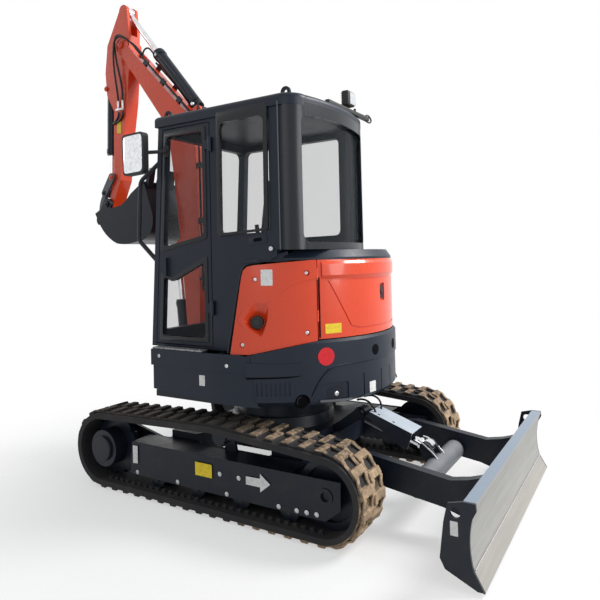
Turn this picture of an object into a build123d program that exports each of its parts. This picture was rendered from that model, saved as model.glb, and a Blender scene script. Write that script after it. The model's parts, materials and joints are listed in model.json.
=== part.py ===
from build123d import *
import math
import os

os.makedirs("parts", exist_ok=True)

# Mini excavator, millimetres. Origin on the ground under the slew axis, +X the way the boom points,
# +Y the cab's side, +Z up. The upper is turned half round, so the blade stands behind the machine.

# Running clearances
pin_gap = 0.3
side_gap = 6.0
seat_gap = 0.3

# Undercarriage
track_outer_y = 860.0
track_width = 300.0
track_mid_y = track_outer_y - track_width / 2
belt_thickness = 36.0
lug_height = 22.0
lug_pitch = 108.0
lug_foot = 62.0
lug_inset = 18.0
sprocket_x = 932.0
sprocket_belt_r = 240.0
idler_x = -784.0
idler_belt_r = 230.0
carrier_x = -30.0
carrier_r = 50.0
carrier_z = 452.0
roller_r = 60.0
roller_xs = (-540.0, -200.0, 140.0, 480.0)
belt_bottom = lug_height
sprocket_z = belt_bottom + sprocket_belt_r
idler_z = belt_bottom + idler_belt_r
frame_outer_y = 800.0
frame_inner_y = 620.0
frame_plate = 10.0
frame_top = 338.0
frame_low = 121.0
ring_r = 330.0
ring_top = 604.0

# Blade
blade_half = 880.0
blade_top = 406.0
blade_back_x = -1473.0
blade_pivot_x = -560.0
blade_pivot_z = 290.0
blade_pin_r = 24.0
arm_y = 390.0
arm_width = 60.0
cross_tube_x = -1143.0
cross_tube_z = 228.0
cross_tube_r = 62.0

# Upper structure
tail_r = 815.0
deck_front = 488.0
skirt_y = 812.0
deck_bottom = 652.0
skirt_top = 965.0
tail_low = 648.0
tail_high = 1039.0
tail_chamfer = 16.0
tail_seam_top = -246.0
tail_seam_low = -314.0
seam_gap = 4.0
skirt_inset = 9.0
skirt_rise = 0.063
tail_rise = 0.227
panel_r = 800.0
panel_top = 1518.0
hood_r = 796.0
hood_low = 1045.0
hood_high = 1518.0
brow_low = 1423.0
brow = 10.0
top_deck_r = 765.0
top_deck_high = 1578.0
panel_seam = 139.0
sheet = 22.0

# Cab
cab_left = 720.0
cab_right = -220.0
cab_floor = 970.0
cab_roof = 2426.0
roof_high = 2500.0
cab_wall = 52.0
door_hinge_x = 42.0
glass = 6.0

# Boom equipment
tool_y = -100.0
swing_x = 700.0
swing_pin_r = 36.0
foot = (850.0, 830.0)
boom_base = (1010.0, 665.0)
boom_eye = (1095.0, 1610.0)
boom_tip = (1657.0, 3466.0)
arm_base = (810.0, 2760.0)
arm_eye = (1655.0, 3790.0)
bucket_base = (1885.0, 3119.0)
bucket_pin = (1870.0, 2060.0)
idler_pin = (1815.0, 2300.0)
crank = (95.0, -135.0)
boom_half = 91.0
arm_half = 65.0


def side(y):
    """Sketch plane at y, seen from the left; extrusions run towards -Y."""
    return Plane.XZ.offset(-y)


def slab(outline, y, width, mode=Mode.ADD, corner=0.0):
    """Plate with a side outline of (x, z) points, from y down to y - width."""
    with BuildSketch(side(y)) as profile:
        with BuildLine():
            Polyline(*outline, close=True)
        make_face()
        if corner:
            fillet(profile.vertices(), corner)
    extrude(profile.sketch, amount=width, mode=mode)


def layer(outline, z, height, mode=Mode.ADD, corner=0.0):
    """Plate with a plan outline of (x, y) points, from z up to z + height."""
    with BuildSketch(Plane.XY.offset(z)) as profile:
        with BuildLine():
            Polyline(*outline, close=True)
        make_face()
        if corner:
            fillet(profile.vertices(), corner)
    extrude(profile.sketch, amount=height, mode=mode)


def block(x0, x1, y0, y1, z0, z1, mode=Mode.ADD):
    """Box between two corners."""
    layer([(x0, y0), (x1, y0), (x1, y1), (x0, y1)], z0, z1 - z0, mode)


def boss(centre, radius, y, width, mode=Mode.ADD):
    """Cylinder across the machine at centre (x, z), from y down to y - width."""
    with BuildSketch(side(y)) as disc:
        with Locations(centre):
            Circle(radius)
    extrude(disc.sketch, amount=width, mode=mode)


def tube_between(start, end, radius, mode=Mode.ADD):
    """Round bar between two points in space."""
    run = Vector(*end) - Vector(*start)
    with BuildSketch(Plane(origin=start, z_dir=run)) as disc:
        Circle(radius)
    extrude(disc.sketch, amount=run.length, mode=mode)


def half_disc(radius, front_x, z, height, mode=Mode.ADD):
    """The plan of the upper structure: a half disc behind, straight sides to the front."""
    with BuildSketch(Plane.XY.offset(z)) as plan:
        with BuildLine():
            tail = ThreePointArc((0, radius), (-radius, 0), (0, -radius))
            Polyline(tail @ 1, (front_x, -radius), (front_x, radius), tail @ 0)
        make_face()
    extrude(plan.sketch, amount=height, mode=mode)


def sector(radius, start, end, z, height, mode=Mode.ADD):
    """Pie of a disc about the slew axis, between two angles in degrees."""
    a0, a1 = math.radians(start), math.radians(end)
    am = (a0 + a1) / 2
    with BuildSketch(Plane.XY.offset(z)) as plan:
        with BuildLine():
            rim = ThreePointArc(
                (radius * math.cos(a0), radius * math.sin(a0)),
                (radius * math.cos(am), radius * math.sin(am)),
                (radius * math.cos(a1), radius * math.sin(a1)),
            )
            Polyline(rim @ 1, (0, 0), rim @ 0)
        make_face()
    extrude(plan.sketch, amount=height, mode=mode)


# Track path
def outer_tangent(c0, r0, c1, r1):
    """Points where a line touches two circles on the left of the way from the first to the second."""
    dx, dz = c1[0] - c0[0], c1[1] - c0[1]
    turn = math.atan2(dz, dx) + math.acos((r0 - r1) / math.hypot(dx, dz))
    n = (math.cos(turn), math.sin(turn))
    return (c0[0] + r0 * n[0], c0[1] + r0 * n[1]), (c1[0] + r1 * n[0], c1[1] + r1 * n[1])


def belt_circles(out):
    """The wheels that the belt runs round, as circles out from its inner face."""
    inner = out - belt_thickness
    return (
        ((sprocket_x, sprocket_z), sprocket_belt_r + inner),
        ((idler_x, idler_z), idler_belt_r + inner),
        ((carrier_x, carrier_z), carrier_r + pin_gap + out),
    )


def belt_corners(out):
    """Tangent points round the belt, from the sprocket's foot by the idler and the carrier roller."""
    sprocket, idler, carrier = belt_circles(out)
    foot_a, foot_b = (sprocket_x, sprocket_z - sprocket[1]), (idler_x, idler_z - idler[1])
    rise_a, rise_b = outer_tangent(*idler, *carrier)
    fall_a, fall_b = outer_tangent(*carrier, *sprocket)
    return foot_a, foot_b, rise_a, rise_b, fall_a, fall_b


def belt_band(out, y, width, mode=Mode.ADD):
    """Loop of the belt at a distance out from its inner face, from y down to y - width."""
    foot_a, foot_b, rise_a, rise_b, fall_a, fall_b = belt_corners(out)
    sprocket, idler, carrier = belt_circles(out)
    with BuildSketch(side(y)) as loop:
        with BuildLine():
            Line(foot_a, foot_b)
            ThreePointArc(foot_b, (idler_x - idler[1], idler_z), rise_a)
            Line(rise_a, rise_b)
            ThreePointArc(rise_b, (carrier_x, carrier_z + carrier[1]), fall_a)
            Line(fall_a, fall_b)
            ThreePointArc(fall_b, (sprocket_x + sprocket[1], sprocket_z), foot_a)
        make_face()
    extrude(loop.sketch, amount=width, mode=mode)


def belt_stations(count):
    """Evenly spaced places on the belt's outer face: point and outward angle in degrees."""
    foot_a, foot_b, rise_a, rise_b, fall_a, fall_b = belt_corners(belt_thickness)
    sprocket, idler, carrier = belt_circles(belt_thickness)
    runs = []

    def add_line(a, b):
        runs.append(("line", math.dist(a, b), a, b))

    def add_arc(circle, a, b):
        (cx, cz), r = circle
        t0 = math.atan2(a[1] - cz, a[0] - cx)
        t1 = math.atan2(b[1] - cz, b[0] - cx)
        swept = (t0 - t1) % (2 * math.pi)
        runs.append(("arc", r * swept, circle, t0))

    add_line(foot_a, foot_b)
    add_arc(idler, foot_b, rise_a)
    add_line(rise_a, rise_b)
    add_arc(carrier, rise_b, fall_a)
    add_line(fall_a, fall_b)
    add_arc(sprocket, fall_b, foot_a)
    total = sum(run[1] for run in runs)
    places = []
    for i in range(count):
        s = total * i / count
        for kind, length, a, b in runs:
            if s <= length:
                break
            s -= length
        if kind == "line":
            t = s / length
            heading = math.atan2(b[1] - a[1], b[0] - a[0])
            places.append((a[0] + (b[0] - a[0]) * t, a[1] + (b[1] - a[1]) * t, math.degrees(heading) + 90))
        else:
            (cx, cz), r = a
            turn = b - s / r
            places.append((cx + r * math.cos(turn), cz + r * math.sin(turn), math.degrees(turn)))
    return places


lug_rows = 46
lug_root = 3.0
lug_row_width = track_width / 2 - lug_inset - 2

with BuildPart() as track:
    belt_band(belt_thickness, track_outer_y, track_width)
    belt_band(0, track_outer_y, track_width, Mode.SUBTRACT)
    for row, y in ((0, track_outer_y - lug_inset), (1, track_mid_y - 2)):
        with BuildSketch(side(y)):
            for x, z, angle in belt_stations(2 * lug_rows)[row::2]:
                lean = math.radians(angle)
                root = (x - lug_root * math.cos(lean), z - lug_root * math.sin(lean), 0)
                with Locations(Location(root, (0, 0, angle - 90))):
                    Trapezoid(lug_foot, lug_height + lug_root, 66, align=(Align.CENTER, Align.MIN))
        extrude(amount=lug_row_width)

track.part.label = "track_left"
export_step(track.part, "parts/track_left.step")

with BuildPart() as track_right:
    mirror(track.part, about=Plane.XZ)
track_right.part.label = "track_right"
export_step(track_right.part, "parts/track_right.step")



def lug(pin, radius, foot_a, foot_b, y, width, mode=Mode.ADD):
    """Ear round a pin, with straight flanks down to two foot points, clockwise seen from the left."""
    near, rise = outer_tangent(foot_a, 0.0, pin, radius)
    fall, far = outer_tangent(pin, radius, foot_b, 0.0)
    slab([foot_a, rise, pin, fall, foot_b], y, width, mode)
    boss(pin, radius, y, width, mode)


# Sprocket with its travel motor
sprocket_width = 44.0
teeth = 15
motor_r = 122.0
cap_r = 84.0
with BuildPart() as drive:
    boss((sprocket_x, sprocket_z), sprocket_belt_r - belt_thickness - seat_gap, track_mid_y + sprocket_width / 2,
         sprocket_width)
    with BuildSketch(side(track_mid_y + sprocket_width / 2)):
        with Locations((sprocket_x, sprocket_z)):
            with PolarLocations(sprocket_belt_r - belt_thickness + 6, teeth):
                Circle(24)
    extrude(amount=sprocket_width, mode=Mode.SUBTRACT)
    boss((sprocket_x, sprocket_z), motor_r, track_outer_y - 25, track_outer_y - 25 - frame_inner_y)
    boss((sprocket_x, sprocket_z), cap_r, track_outer_y - 4, 30)
    fillet(drive.edges().filter_by(GeomType.CIRCLE).sort_by(Axis.Y)[-1], 10)
drive.part.label = "travel_drive_left"
export_step(drive.part, "parts/travel_drive_left.step")
with BuildPart() as drive_right:
    mirror(drive.part, about=Plane.XZ)
drive_right.part.label = "travel_drive_right"
export_step(drive_right.part, "parts/travel_drive_right.step")

# Idler wheel: a turned rim with a raised middle
idler_r = idler_belt_r - belt_thickness - seat_gap
idler_half = 40.0
idler_shaft_r = 26.0
with BuildPart() as idler:
    with BuildSketch(Plane(origin=(idler_x, track_mid_y, idler_z), x_dir=(0, 0, 1), z_dir=(1, 0, 0))) as rim:
        with BuildLine():
            Polyline(
                (idler_shaft_r - 4, -idler_half - 20),
                (60, -idler_half - 20),
                (60, -18),
                (idler_r - 40, -18),
                (idler_r - 40, -idler_half),
                (idler_r, -idler_half),
                (idler_r, idler_half),
                (idler_r - 40, idler_half),
                (idler_r - 40, 18),
                (60, 18),
                (60, idler_half + 20),
                (idler_shaft_r - 4, idler_half + 20),
                close=True,
            )
        make_face()
    revolve(axis=Axis((idler_x, track_mid_y, idler_z), (0, 1, 0)))
    boss((idler_x, idler_z), idler_shaft_r, frame_outer_y - frame_plate, frame_outer_y - frame_inner_y - 2 * frame_plate)
idler.part.label = "idler_left"
export_step(idler.part, "parts/idler_left.step")
with BuildPart() as idler_right:
    mirror(idler.part, about=Plane.XZ)
idler_right.part.label = "idler_right"
export_step(idler_right.part, "parts/idler_right.step")

# Lower rollers and the carrier roller
roller_z = belt_bottom + belt_thickness + seat_gap + roller_r
roller_shaft_r = 18.0
inside_y = frame_outer_y - frame_plate
inside_width = frame_outer_y - frame_inner_y - 2 * frame_plate
with BuildPart() as rollers:
    for x in roller_xs:
        boss((x, roller_z), roller_shaft_r, inside_y, inside_width)
        boss((x, roller_z), roller_r, inside_y - 12, 42)
        boss((x, roller_z), roller_r - 14, inside_y - 50, inside_width - 100)
        boss((x, roller_z), roller_r, frame_inner_y + frame_plate + 54, 42)
    boss((carrier_x, carrier_z), carrier_r, inside_y - 20, 80)
    boss((carrier_x, carrier_z), roller_shaft_r, inside_y - 20, 112)
rollers.part.label = "rollers_left"
export_step(rollers.part, "parts/rollers_left.step")
with BuildPart() as rollers_right:
    mirror(rollers.part, about=Plane.XZ)
rollers_right.part.label = "rollers_right"
export_step(rollers_right.part, "parts/rollers_right.step")

# Track frame: outer and inner plates with a closed beam between them
beam_front = 709.0
beam_back = -560.0
beam_low = roller_z + roller_r + 10
with BuildPart() as rail:
    slab([(690, frame_top - 2), (-878, 342), (-874, 192), (-781, frame_low), (beam_front, frame_low)],
         frame_outer_y, frame_plate)
    boss((idler_x, idler_z), 46, frame_outer_y + 6, 6)
    slab([(820, frame_top - 2), (-850, 342), (-850, 200), (-770, frame_low), (760, frame_low)],
         frame_inner_y + frame_plate, frame_plate)
    slab([(690, frame_top - 2), (beam_back, frame_top - 2), (beam_back, beam_low), (beam_front - 14, beam_low)],
         inside_y, inside_width)
    boss((sprocket_x, sprocket_z), motor_r + 18, frame_inner_y, 22)
    slab([(600, frame_top - 10), (sprocket_x, sprocket_z + motor_r + 18), (sprocket_x, sprocket_z - motor_r - 18),
          (600, frame_low + 20)], frame_inner_y, 22)
    slab([(carrier_x - 45, frame_top - 4), (carrier_x + 45, frame_top - 4), (carrier_x + 26, carrier_z + 26),
          (carrier_x - 26, carrier_z + 26)], inside_y - 132, 22)
    boss((idler_x, idler_z), idler_shaft_r + pin_gap, frame_outer_y + 10, 220, Mode.SUBTRACT)
rail.part.label = "track_frame_left"
export_step(rail.part, "parts/track_frame_left.step")
with BuildPart() as rail_right:
    mirror(rail.part, about=Plane.XZ)
rail_right.part.label = "track_frame_right"
export_step(rail_right.part, "parts/track_frame_right.step")

# Car body: middle box, four legs, slew bearing, and the blade's brackets
body_top = 470.0
blade_arm_y = arm_y + arm_width / 2
guard_pin = (-626.0, 493.0)
guard_half = 30.0
ear = 24.0
with BuildPart() as car_body:
    with BuildSketch(Plane.XY.offset(250)):
        RectangleRounded(900, 640, 60)
    extrude(amount=150, taper=6)
    with BuildSketch(Plane.XY.offset(395)):
        Circle(ring_r + 40)
    extrude(amount=body_top - 395, taper=10)
    with BuildSketch(Plane.XY.offset(body_top)):
        Circle(ring_r)
    extrude(amount=ring_top - body_top)
    for sx in (1, -1):
        for sy in (1, -1):
            layer([(sx * 120, sy * 240), (sx * 430, sy * 240), (sx * 520, sy * (frame_inner_y - 22)),
                   (sx * 300, sy * (frame_inner_y - 22))], 262, 120)
            layer([(sx * 280, sy * (frame_inner_y - 40)), (sx * 540, sy * (frame_inner_y - 40)),
                   (sx * 540, sy * frame_inner_y), (sx * 280, sy * frame_inner_y)], 200, 130)
    block(-470, -400, -452, 452, 230, 360)
    for y in (blade_arm_y + side_gap + ear, arm_y - arm_width / 2 - side_gap):
        for s in (1, -1):
            top = y if s > 0 else -y + ear
            slab([(-420, 352), (blade_pivot_x, 352), (blade_pivot_x - 52, 318), (blade_pivot_x - 52, 262),
                  (blade_pivot_x, 228), (-420, 228)], top, ear)
    for s in (1, -1):
        boss((blade_pivot_x, blade_pivot_z), blade_pin_r, s * arm_y + arm_width / 2 + side_gap + ear + 10,
             arm_width + 2 * side_gap + 2 * ear + 20)
    for y in (guard_half + side_gap + ear, -guard_half - side_gap):
        lug(guard_pin, 34, (-470, 350), (-380, 350), y, ear)
    boss(guard_pin, 20, guard_half + side_gap + ear + 8, 2 * (guard_half + side_gap + ear + 8))
car_body.part.label = "car_body"
export_step(car_body.part, "parts/car_body.step")

# Blade: curved mouldboard between side plates, with its cutting edge
blade_sheet = 14.0
with BuildPart() as blade:
    with BuildSketch(side(blade_half)) as section:
        with BuildLine():
            face = ThreePointArc((-1603, 390), (-1572, 240), (-1586, 102))
            Polyline(face @ 1, (-1633, 17), (-1618, 22), (-1560, 112))
            back = ThreePointArc((-1560, 112), (-1552, 240), (-1578, 376))
            Polyline(back @ 1, (-1544, 378), (-1544, blade_top), (-1603, blade_top), face @ 0)
        make_face()
    extrude(amount=2 * blade_half)
    for y in (blade_half, -blade_half + blade_sheet):
        slab([(blade_back_x, 388), (-1544, blade_top), (-1603, blade_top), (-1606, 372), (-1566, 300), (-1578, 102),
              (-1622, 20), (-1600, 20), (-1454, 84), (-1430, 130), (-1452, 300)], y, blade_sheet)
        boss((-1509, 350), 24, y, blade_sheet, Mode.SUBTRACT)
blade.part.label = "blade"
export_step(blade.part, "parts/blade.step")

# Push arms and cross tube
ram_eye = (-1077.0, 332.0)
with BuildPart() as push_arms:
    for s in (1, -1):
        top = s * arm_y + arm_width / 2
        slab([(blade_pivot_x, 338), (-866, 378), (-1344, 312), (-1440, 330), (-1552, 366), (-1552, 130), (-1440, 120),
              (-1305, 160), (-919, 214), (blade_pivot_x, 242)], top, arm_width)
        boss((blade_pivot_x, blade_pivot_z), 48, top, arm_width)
        boss((blade_pivot_x, blade_pivot_z), blade_pin_r + pin_gap, top, arm_width, Mode.SUBTRACT)
    boss((cross_tube_x, cross_tube_z), cross_tube_r, arm_y, 2 * arm_y)
    for y in (guard_half + side_gap + ear, -guard_half - side_gap):
        lug(ram_eye, 36, (cross_tube_x - 46, cross_tube_z + 10), (cross_tube_x + 46, cross_tube_z - 10), y, ear)
with BuildPart() as push_arms_clear:
    add(push_arms.part)
    add(blade.part, mode=Mode.SUBTRACT)
push_arms_clear.part.label = "push_arms"
export_step(push_arms_clear.part, "parts/push_arms.step")


def ram(name, start, end, across, barrel_r, rod_r, barrel_length, rod_inner, eye_half, eye_r, pin_r):
    """Hydraulic cylinder between two pins: a bored barrel with base eye and gland, and a rod with its eye."""
    start, end, across = Vector(*start), Vector(*end), Vector(*across)
    length = (end - start).length
    line = Plane(origin=start, x_dir=across, z_dir=end - start)

    def disc(at, radius, depth, mode=Mode.ADD):
        with BuildSketch(line.offset(at)) as ring:
            Circle(radius)
        extrude(ring.sketch, amount=depth, mode=mode)

    def eyelet(centre, radius, half, mode=Mode.ADD):
        with BuildSketch(Plane(origin=centre - across * half, z_dir=across)) as ring:
            Circle(radius)
        extrude(ring.sketch, amount=2 * half, mode=mode)

    neck = eye_r + 6
    with BuildPart() as barrel:
        disc(0, eye_half - 2, neck + 2)
        eyelet(start, eye_r, eye_half)
        disc(neck, barrel_r, barrel_length - neck)
        disc(barrel_length - 56, barrel_r + 5, 40)
        disc(neck + 18, rod_r + 1, barrel_length, Mode.SUBTRACT)
        eyelet(start, pin_r + pin_gap, eye_half + 2, Mode.SUBTRACT)
    barrel.part.label = name + "_cylinder"
    export_step(barrel.part, f"parts/{name}_cylinder.step")
    with BuildPart() as rod:
        disc(rod_inner, rod_r, length - rod_inner)
        disc(length - eye_r - 12, rod_r + 7, 16)
        eyelet(end, eye_r, eye_half)
    rod.part.label = name + "_rod"
    export_step(rod.part, f"parts/{name}_rod.step")


def at(point, y=tool_y):
    """A pin's (x, z) as a point in space on the boom's middle plane."""
    return (point[0], y, point[1])


ram("blade", at(guard_pin, 0.0), at(ram_eye, 0.0), (0, 1, 0), 50, 27, 330, 160, guard_half, 42, 20)

# Cover over the blade cylinder: a bent plate whose sides reach down past the barrel
cover_half = 86.0
cover_sheet = 6.0
cover_high = 64.0
cover_start = 78.0
cover_end = 384.0
ram_run = Vector(ram_eye[0] - guard_pin[0], ram_eye[1] - guard_pin[1]).normalized()


def beside_ram(along, out):
    """Point of the cover's side outline: from the base pin towards the rod's eye, and up from the barrel's middle."""
    return (guard_pin[0] + ram_run.X * along + ram_run.Y * out, guard_pin[1] + ram_run.Y * along - ram_run.X * out)


with BuildPart() as cover:
    slab([beside_ram(cover_start, cover_high - 6), beside_ram(cover_start, cover_high), beside_ram(cover_end, cover_high),
          beside_ram(cover_end, cover_high - 6)], cover_half, 2 * cover_half)
    for y in (cover_half, -cover_half + cover_sheet):
        slab([beside_ram(cover_start, cover_high), beside_ram(cover_end, cover_high), beside_ram(cover_end, -44),
              beside_ram(cover_end - 90, -44), beside_ram(cover_start, cover_high - 40)], y, cover_sheet)
    for along in (120, 226):
        slab([beside_ram(along, 50 + seat_gap), beside_ram(along, cover_high - 4), beside_ram(along + 30, cover_high - 4),
              beside_ram(along + 30, 50 + seat_gap)], 30, 60)
        with BuildSketch(Plane(origin=(beside_ram(along + 15, 0)[0], 0, beside_ram(along + 15, 0)[1]), x_dir=(0, 1, 0),
                               z_dir=(-ram_run.Y * -1, 0, -ram_run.X))) as slot_shape:
            with Locations((56, 0)):
                Rectangle(16, 16)
        extrude(slot_shape.sketch, amount=2 * cover_high, mode=Mode.SUBTRACT)
cover.part.label = "cylinder_cover"
export_step(cover.part, "parts/cylinder_cover.step")

# Shapes of the round tail
exhaust_turn = 131.5
exhaust_z = 684.0
exhaust_r = 46.0


def ring(profile, mode=Mode.ADD):
    """Solid of revolution about the slew axis from (radius, z) points."""
    with BuildSketch(Plane.XZ) as half:
        with BuildLine():
            Polyline(*profile, close=True)
        make_face()
    revolve(half.sketch, axis=Axis.Z, mode=mode)


def tail_plane(turn, z, radius):
    """Sketch plane facing out of the tail at this turn from +X, height and radius."""
    a = math.radians(turn)
    return Plane(origin=(radius * math.cos(a), radius * math.sin(a), z), x_dir=(-math.sin(a), math.cos(a), 0),
                 z_dir=(math.cos(a), math.sin(a), 0))


def bore(turn, z, radius, hole_r, depth, mode=Mode.SUBTRACT):
    """Round hole, or with Mode.ADD a round stub, from this radius of the tail inwards."""
    with BuildSketch(tail_plane(turn, z, radius)) as disc:
        Circle(hole_r)
    extrude(disc.sketch, amount=-depth, mode=mode)


def sunk(turn, z, radius, outline, corner, depth):
    """Recess with an outline of (along, up) points round (turn, z) of the tail."""
    with BuildSketch(tail_plane(turn, z, radius)) as shape:
        with BuildLine():
            Polyline(*outline, close=True)
        make_face()
        fillet(shape.vertices(), corner)
    extrude(shape.sketch, amount=-depth, mode=Mode.SUBTRACT)


# Slew frame: floor, ring, cab mounts, and the bracket that carries the swing post
lug_low = 640.0
lug_thick = 40.0
post_low = lug_low + lug_thick + side_gap
post_high = 854.0
swing_r = 62.0
floor_plate = 40.0
deck_z = deck_bottom + 8 + floor_plate
with BuildPart() as slew_frame:
    half_disc(skirt_y - sheet - seat_gap, deck_front - sheet - seat_gap, deck_bottom + 8, floor_plate)
    with BuildSketch(Plane.XY.offset(ring_top + seat_gap)):
        Circle(ring_r + 10)
    extrude(amount=deck_bottom + 8 - ring_top - seat_gap)
    for z in (lug_low, post_high + side_gap):
        with BuildSketch(Plane.XY.offset(z)):
            with BuildLine():
                nose = ThreePointArc((swing_x, tool_y - 70), (swing_x + 70, tool_y), (swing_x, tool_y + 70))
                Polyline(nose @ 1, (430, tool_y + 190), (430, tool_y - 190), nose @ 0)
            make_face()
        extrude(amount=lug_thick)
    for y in (tool_y - 150, tool_y + 126):
        layer([(300, y), (540, y), (540, y + 24), (300, y + 24)], deck_bottom + 10, 230)
    for z in (744 - side_gap - 20, 796 + side_gap):
        layer([(40, -480), (108, -480), (126, -450), (126, -410), (108, -380), (40, -380)], z, 20)
    layer([(30, -480), (56, -480), (56, -380), (30, -380)], 690, 132)
    with Locations((100, -430, 690)):
        Cylinder(20, 140, align=(Align.CENTER, Align.CENTER, Align.MIN))
    with Locations((swing_x, tool_y, 500)):
        Cylinder(swing_pin_r + pin_gap, 600, align=(Align.CENTER, Align.CENTER, Align.MIN), mode=Mode.SUBTRACT)
    with BuildSketch(Plane.XY.offset(690)):
        with Locations((420, 640), (420, 20), (20, 640), (20, -150)):
            Circle(38)
    extrude(amount=cab_floor - 690)
    bore(exhaust_turn, exhaust_z, tail_r, exhaust_r + side_gap, 110)
slew_frame.part.label = "slew_frame"
export_step(slew_frame.part, "parts/slew_frame.step")

# Counterweight round the tail
tail_inner = 640.0
arch_depth = 7.0
arch_turn = 42.0
louvre_depth = 6.0
tie_turn = 146.5
tie_z = 718.0
tie_depth = 19.0
hole_turn = 170.0
hole_z = 945.0


def seam_side(shift, front):
    """Side outline of all that lies before or behind the slanted seam, moved by shift along X."""
    far = 900 if front else -900
    return [(tail_seam_top + 40 * 0.23 + shift, skirt_top + 300), (tail_seam_low + shift, tail_low),
            (tail_seam_low - 20 + shift, 560), (far, 560), (far, skirt_top + 300)]


with BuildPart() as counterweight:
    ring([(tail_inner, tail_low), (tail_r - 34, tail_low), (tail_r, tail_low + 40), (tail_r, tail_high - tail_chamfer),
          (tail_r - tail_chamfer, tail_high), (tail_inner, tail_high)])
    slab(seam_side(-seam_gap, True), 900, 1800, Mode.SUBTRACT)
    slab([(tail_seam_top + 60, skirt_top - 10 - 60 * tail_rise), (tail_seam_top, skirt_top - 10),
          (tail_seam_top - 370, skirt_top - 10 + 370 * tail_rise), (tail_seam_top - 370, 1200),
          (tail_seam_top + 60, 1200)], 900, 1800, Mode.SUBTRACT)
    half_disc(skirt_y - sheet, deck_front - sheet, tail_low - 1, 56, Mode.SUBTRACT)
    with BuildPart(mode=Mode.PRIVATE) as arch:
        ring([(tail_r - arch_depth, 600), (tail_r + 40, 600), (tail_r + 40, 960), (tail_r - arch_depth, 960)])
        with BuildSketch(Plane.YZ.offset(-900)) as opening:
            with BuildLine():
                Polyline((-574, 600), (-574, 722), (-545, 815), (-500, 862), (-440, 884), (440, 884), (500, 862),
                         (545, 815), (574, 722), (574, 600), close=True)
            make_face()
            fillet(opening.vertices().sort_by(Axis.Y)[2:-2], 30)
        extrude(opening.sketch, amount=600, mode=Mode.INTERSECT)
    add(arch.part, mode=Mode.SUBTRACT)
    for s in (1, -1):
        sunk(180 - s * (180 - tie_turn), tie_z, tail_r + 20,
             [(-96 * s, 64), (-52 * s, 66), (92 * s, 62), (92 * s, -46), (-62 * s, -46)], 14, tie_depth + 20)
        bore(180 - s * (180 - tie_turn), tie_z, tail_r, 15, tie_depth + 60)
        bore(180 - s * (180 - hole_turn), hole_z, tail_r + 5, 20, 70)
        for turn in (162, 175):
            sunk(180 - s * (180 - turn), 735, tail_r + 20, [(-4, 78), (4, 78), (4, -70), (-4, -70)], 3, 34)
    with BuildSketch(tail_plane(exhaust_turn, exhaust_z, tail_r + 20)) as outlet:
        Circle(exhaust_r)
        Circle(31, mode=Mode.SUBTRACT)
    extrude(outlet.sketch, amount=-90, mode=Mode.SUBTRACT)
    bore(exhaust_turn, exhaust_z, tail_r + 20, 36, 36)
    bore(exhaust_turn, exhaust_z, tail_r, 26, 80)
    for i in range(8):
        sunk(112.9 + 1.9 * i, 765, tail_r + 20, [(-6, 38), (6, 38), (6, -38), (-6, -38)], 4, 20 + louvre_depth)
        sunk(247.1 - 1.9 * i, 765, tail_r + 20, [(-6, 38), (6, 38), (6, -38), (-6, -38)], 4, 20 + louvre_depth)
counterweight.part.label = "counterweight"
export_step(counterweight.part, "parts/counterweight.step")

# Skirts under the cab and under the right cover: a proud band over an inset lower panel
band = 862.0
skirt_low = 700.0


def skirt_shell(inner_cut):
    """Both skirts' common form, cut away on the other side of the machine."""
    half_disc(skirt_y - skirt_inset, deck_front - 12, skirt_low - 60, band - skirt_low + 60)
    half_disc(skirt_y, deck_front, band, skirt_top - band)
    slab([(900, skirt_low - 200), (900, skirt_low + 46), (440, skirt_low + 46 - 40), (380, skirt_low - 2),
          (-400, skirt_low - 2 - 780 * skirt_rise), (-400, skirt_low - 200)], 900, 1800, Mode.SUBTRACT)
    half_disc(skirt_y - sheet, deck_front - sheet - 4, 560, 600, Mode.SUBTRACT)
    slab(seam_side(0, False), 900, 1800, Mode.SUBTRACT)
    slab([(-900, 1200), (tail_seam_top - 60, skirt_top - 10 + 60 * tail_rise), (tail_seam_top, skirt_top - 10),
          (tail_seam_top + 44, skirt_top), (tail_seam_top + 44, 1200)], 900, 1800, Mode.SUBTRACT)
    block(-900, 900, -900 if inner_cut > 0 else inner_cut, inner_cut if inner_cut > 0 else 900, 500, 1200,
          Mode.SUBTRACT)


with BuildPart() as skirt:
    skirt_shell(tool_y + 210)
skirt.part.label = "skirt_left"
export_step(skirt.part, "parts/skirt_left.step")
with BuildPart() as skirt_right:
    skirt_shell(tool_y - 330)
skirt_right.part.label = "skirt_right"
export_step(skirt_right.part, "parts/skirt_right.step")

# Side panels, rear hood and top deck
hood_gap = 0.6
hinge_turn = math.radians(panel_seam + hood_gap / 2)
hinge_x, hinge_y = hood_r * math.cos(hinge_turn), hood_r * math.sin(hinge_turn)
knuckle_r = 7.0
knuckle = 34.0
hinge_zs = (1150.0, 1400.0)


def hinge_barrel(z, radius, height, mode=Mode.ADD):
    """Round piece of the hood's hinge, from z up."""
    with BuildSketch(Plane.XY.offset(z)) as ring:
        with Locations((hinge_x, hinge_y)):
            Circle(radius)
    extrude(ring.sketch, amount=height, mode=mode)


panel_low = skirt_top + seat_gap
panel_front = [(-141, 900), (-149, 968), (-228, 1430), (-240, 1466), (-262, 1486), (-300, 1494), (-600, panel_top + 1)]
fuel_turn = 113.0
fuel_z = 1178.0
fuel_depth = 44.0
swell_r = 776.9
swell_shift = 35.9
swell_turn = 170.0
panel_bolts = ((112.5, 1410), (134.7, 1441), (134.4, 1087), (106.3, 1023))


def swelled(radius, z, height):
    """Round tail block set off the slew axis, so that it stands out of the panel more and more towards the rear."""
    a = math.radians(swell_turn)
    with BuildSketch(Plane.XY.offset(z)) as plan:
        with Locations((swell_shift * math.cos(a), swell_shift * math.sin(a))):
            Circle(radius)
    extrude(plan.sketch, amount=height)


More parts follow.
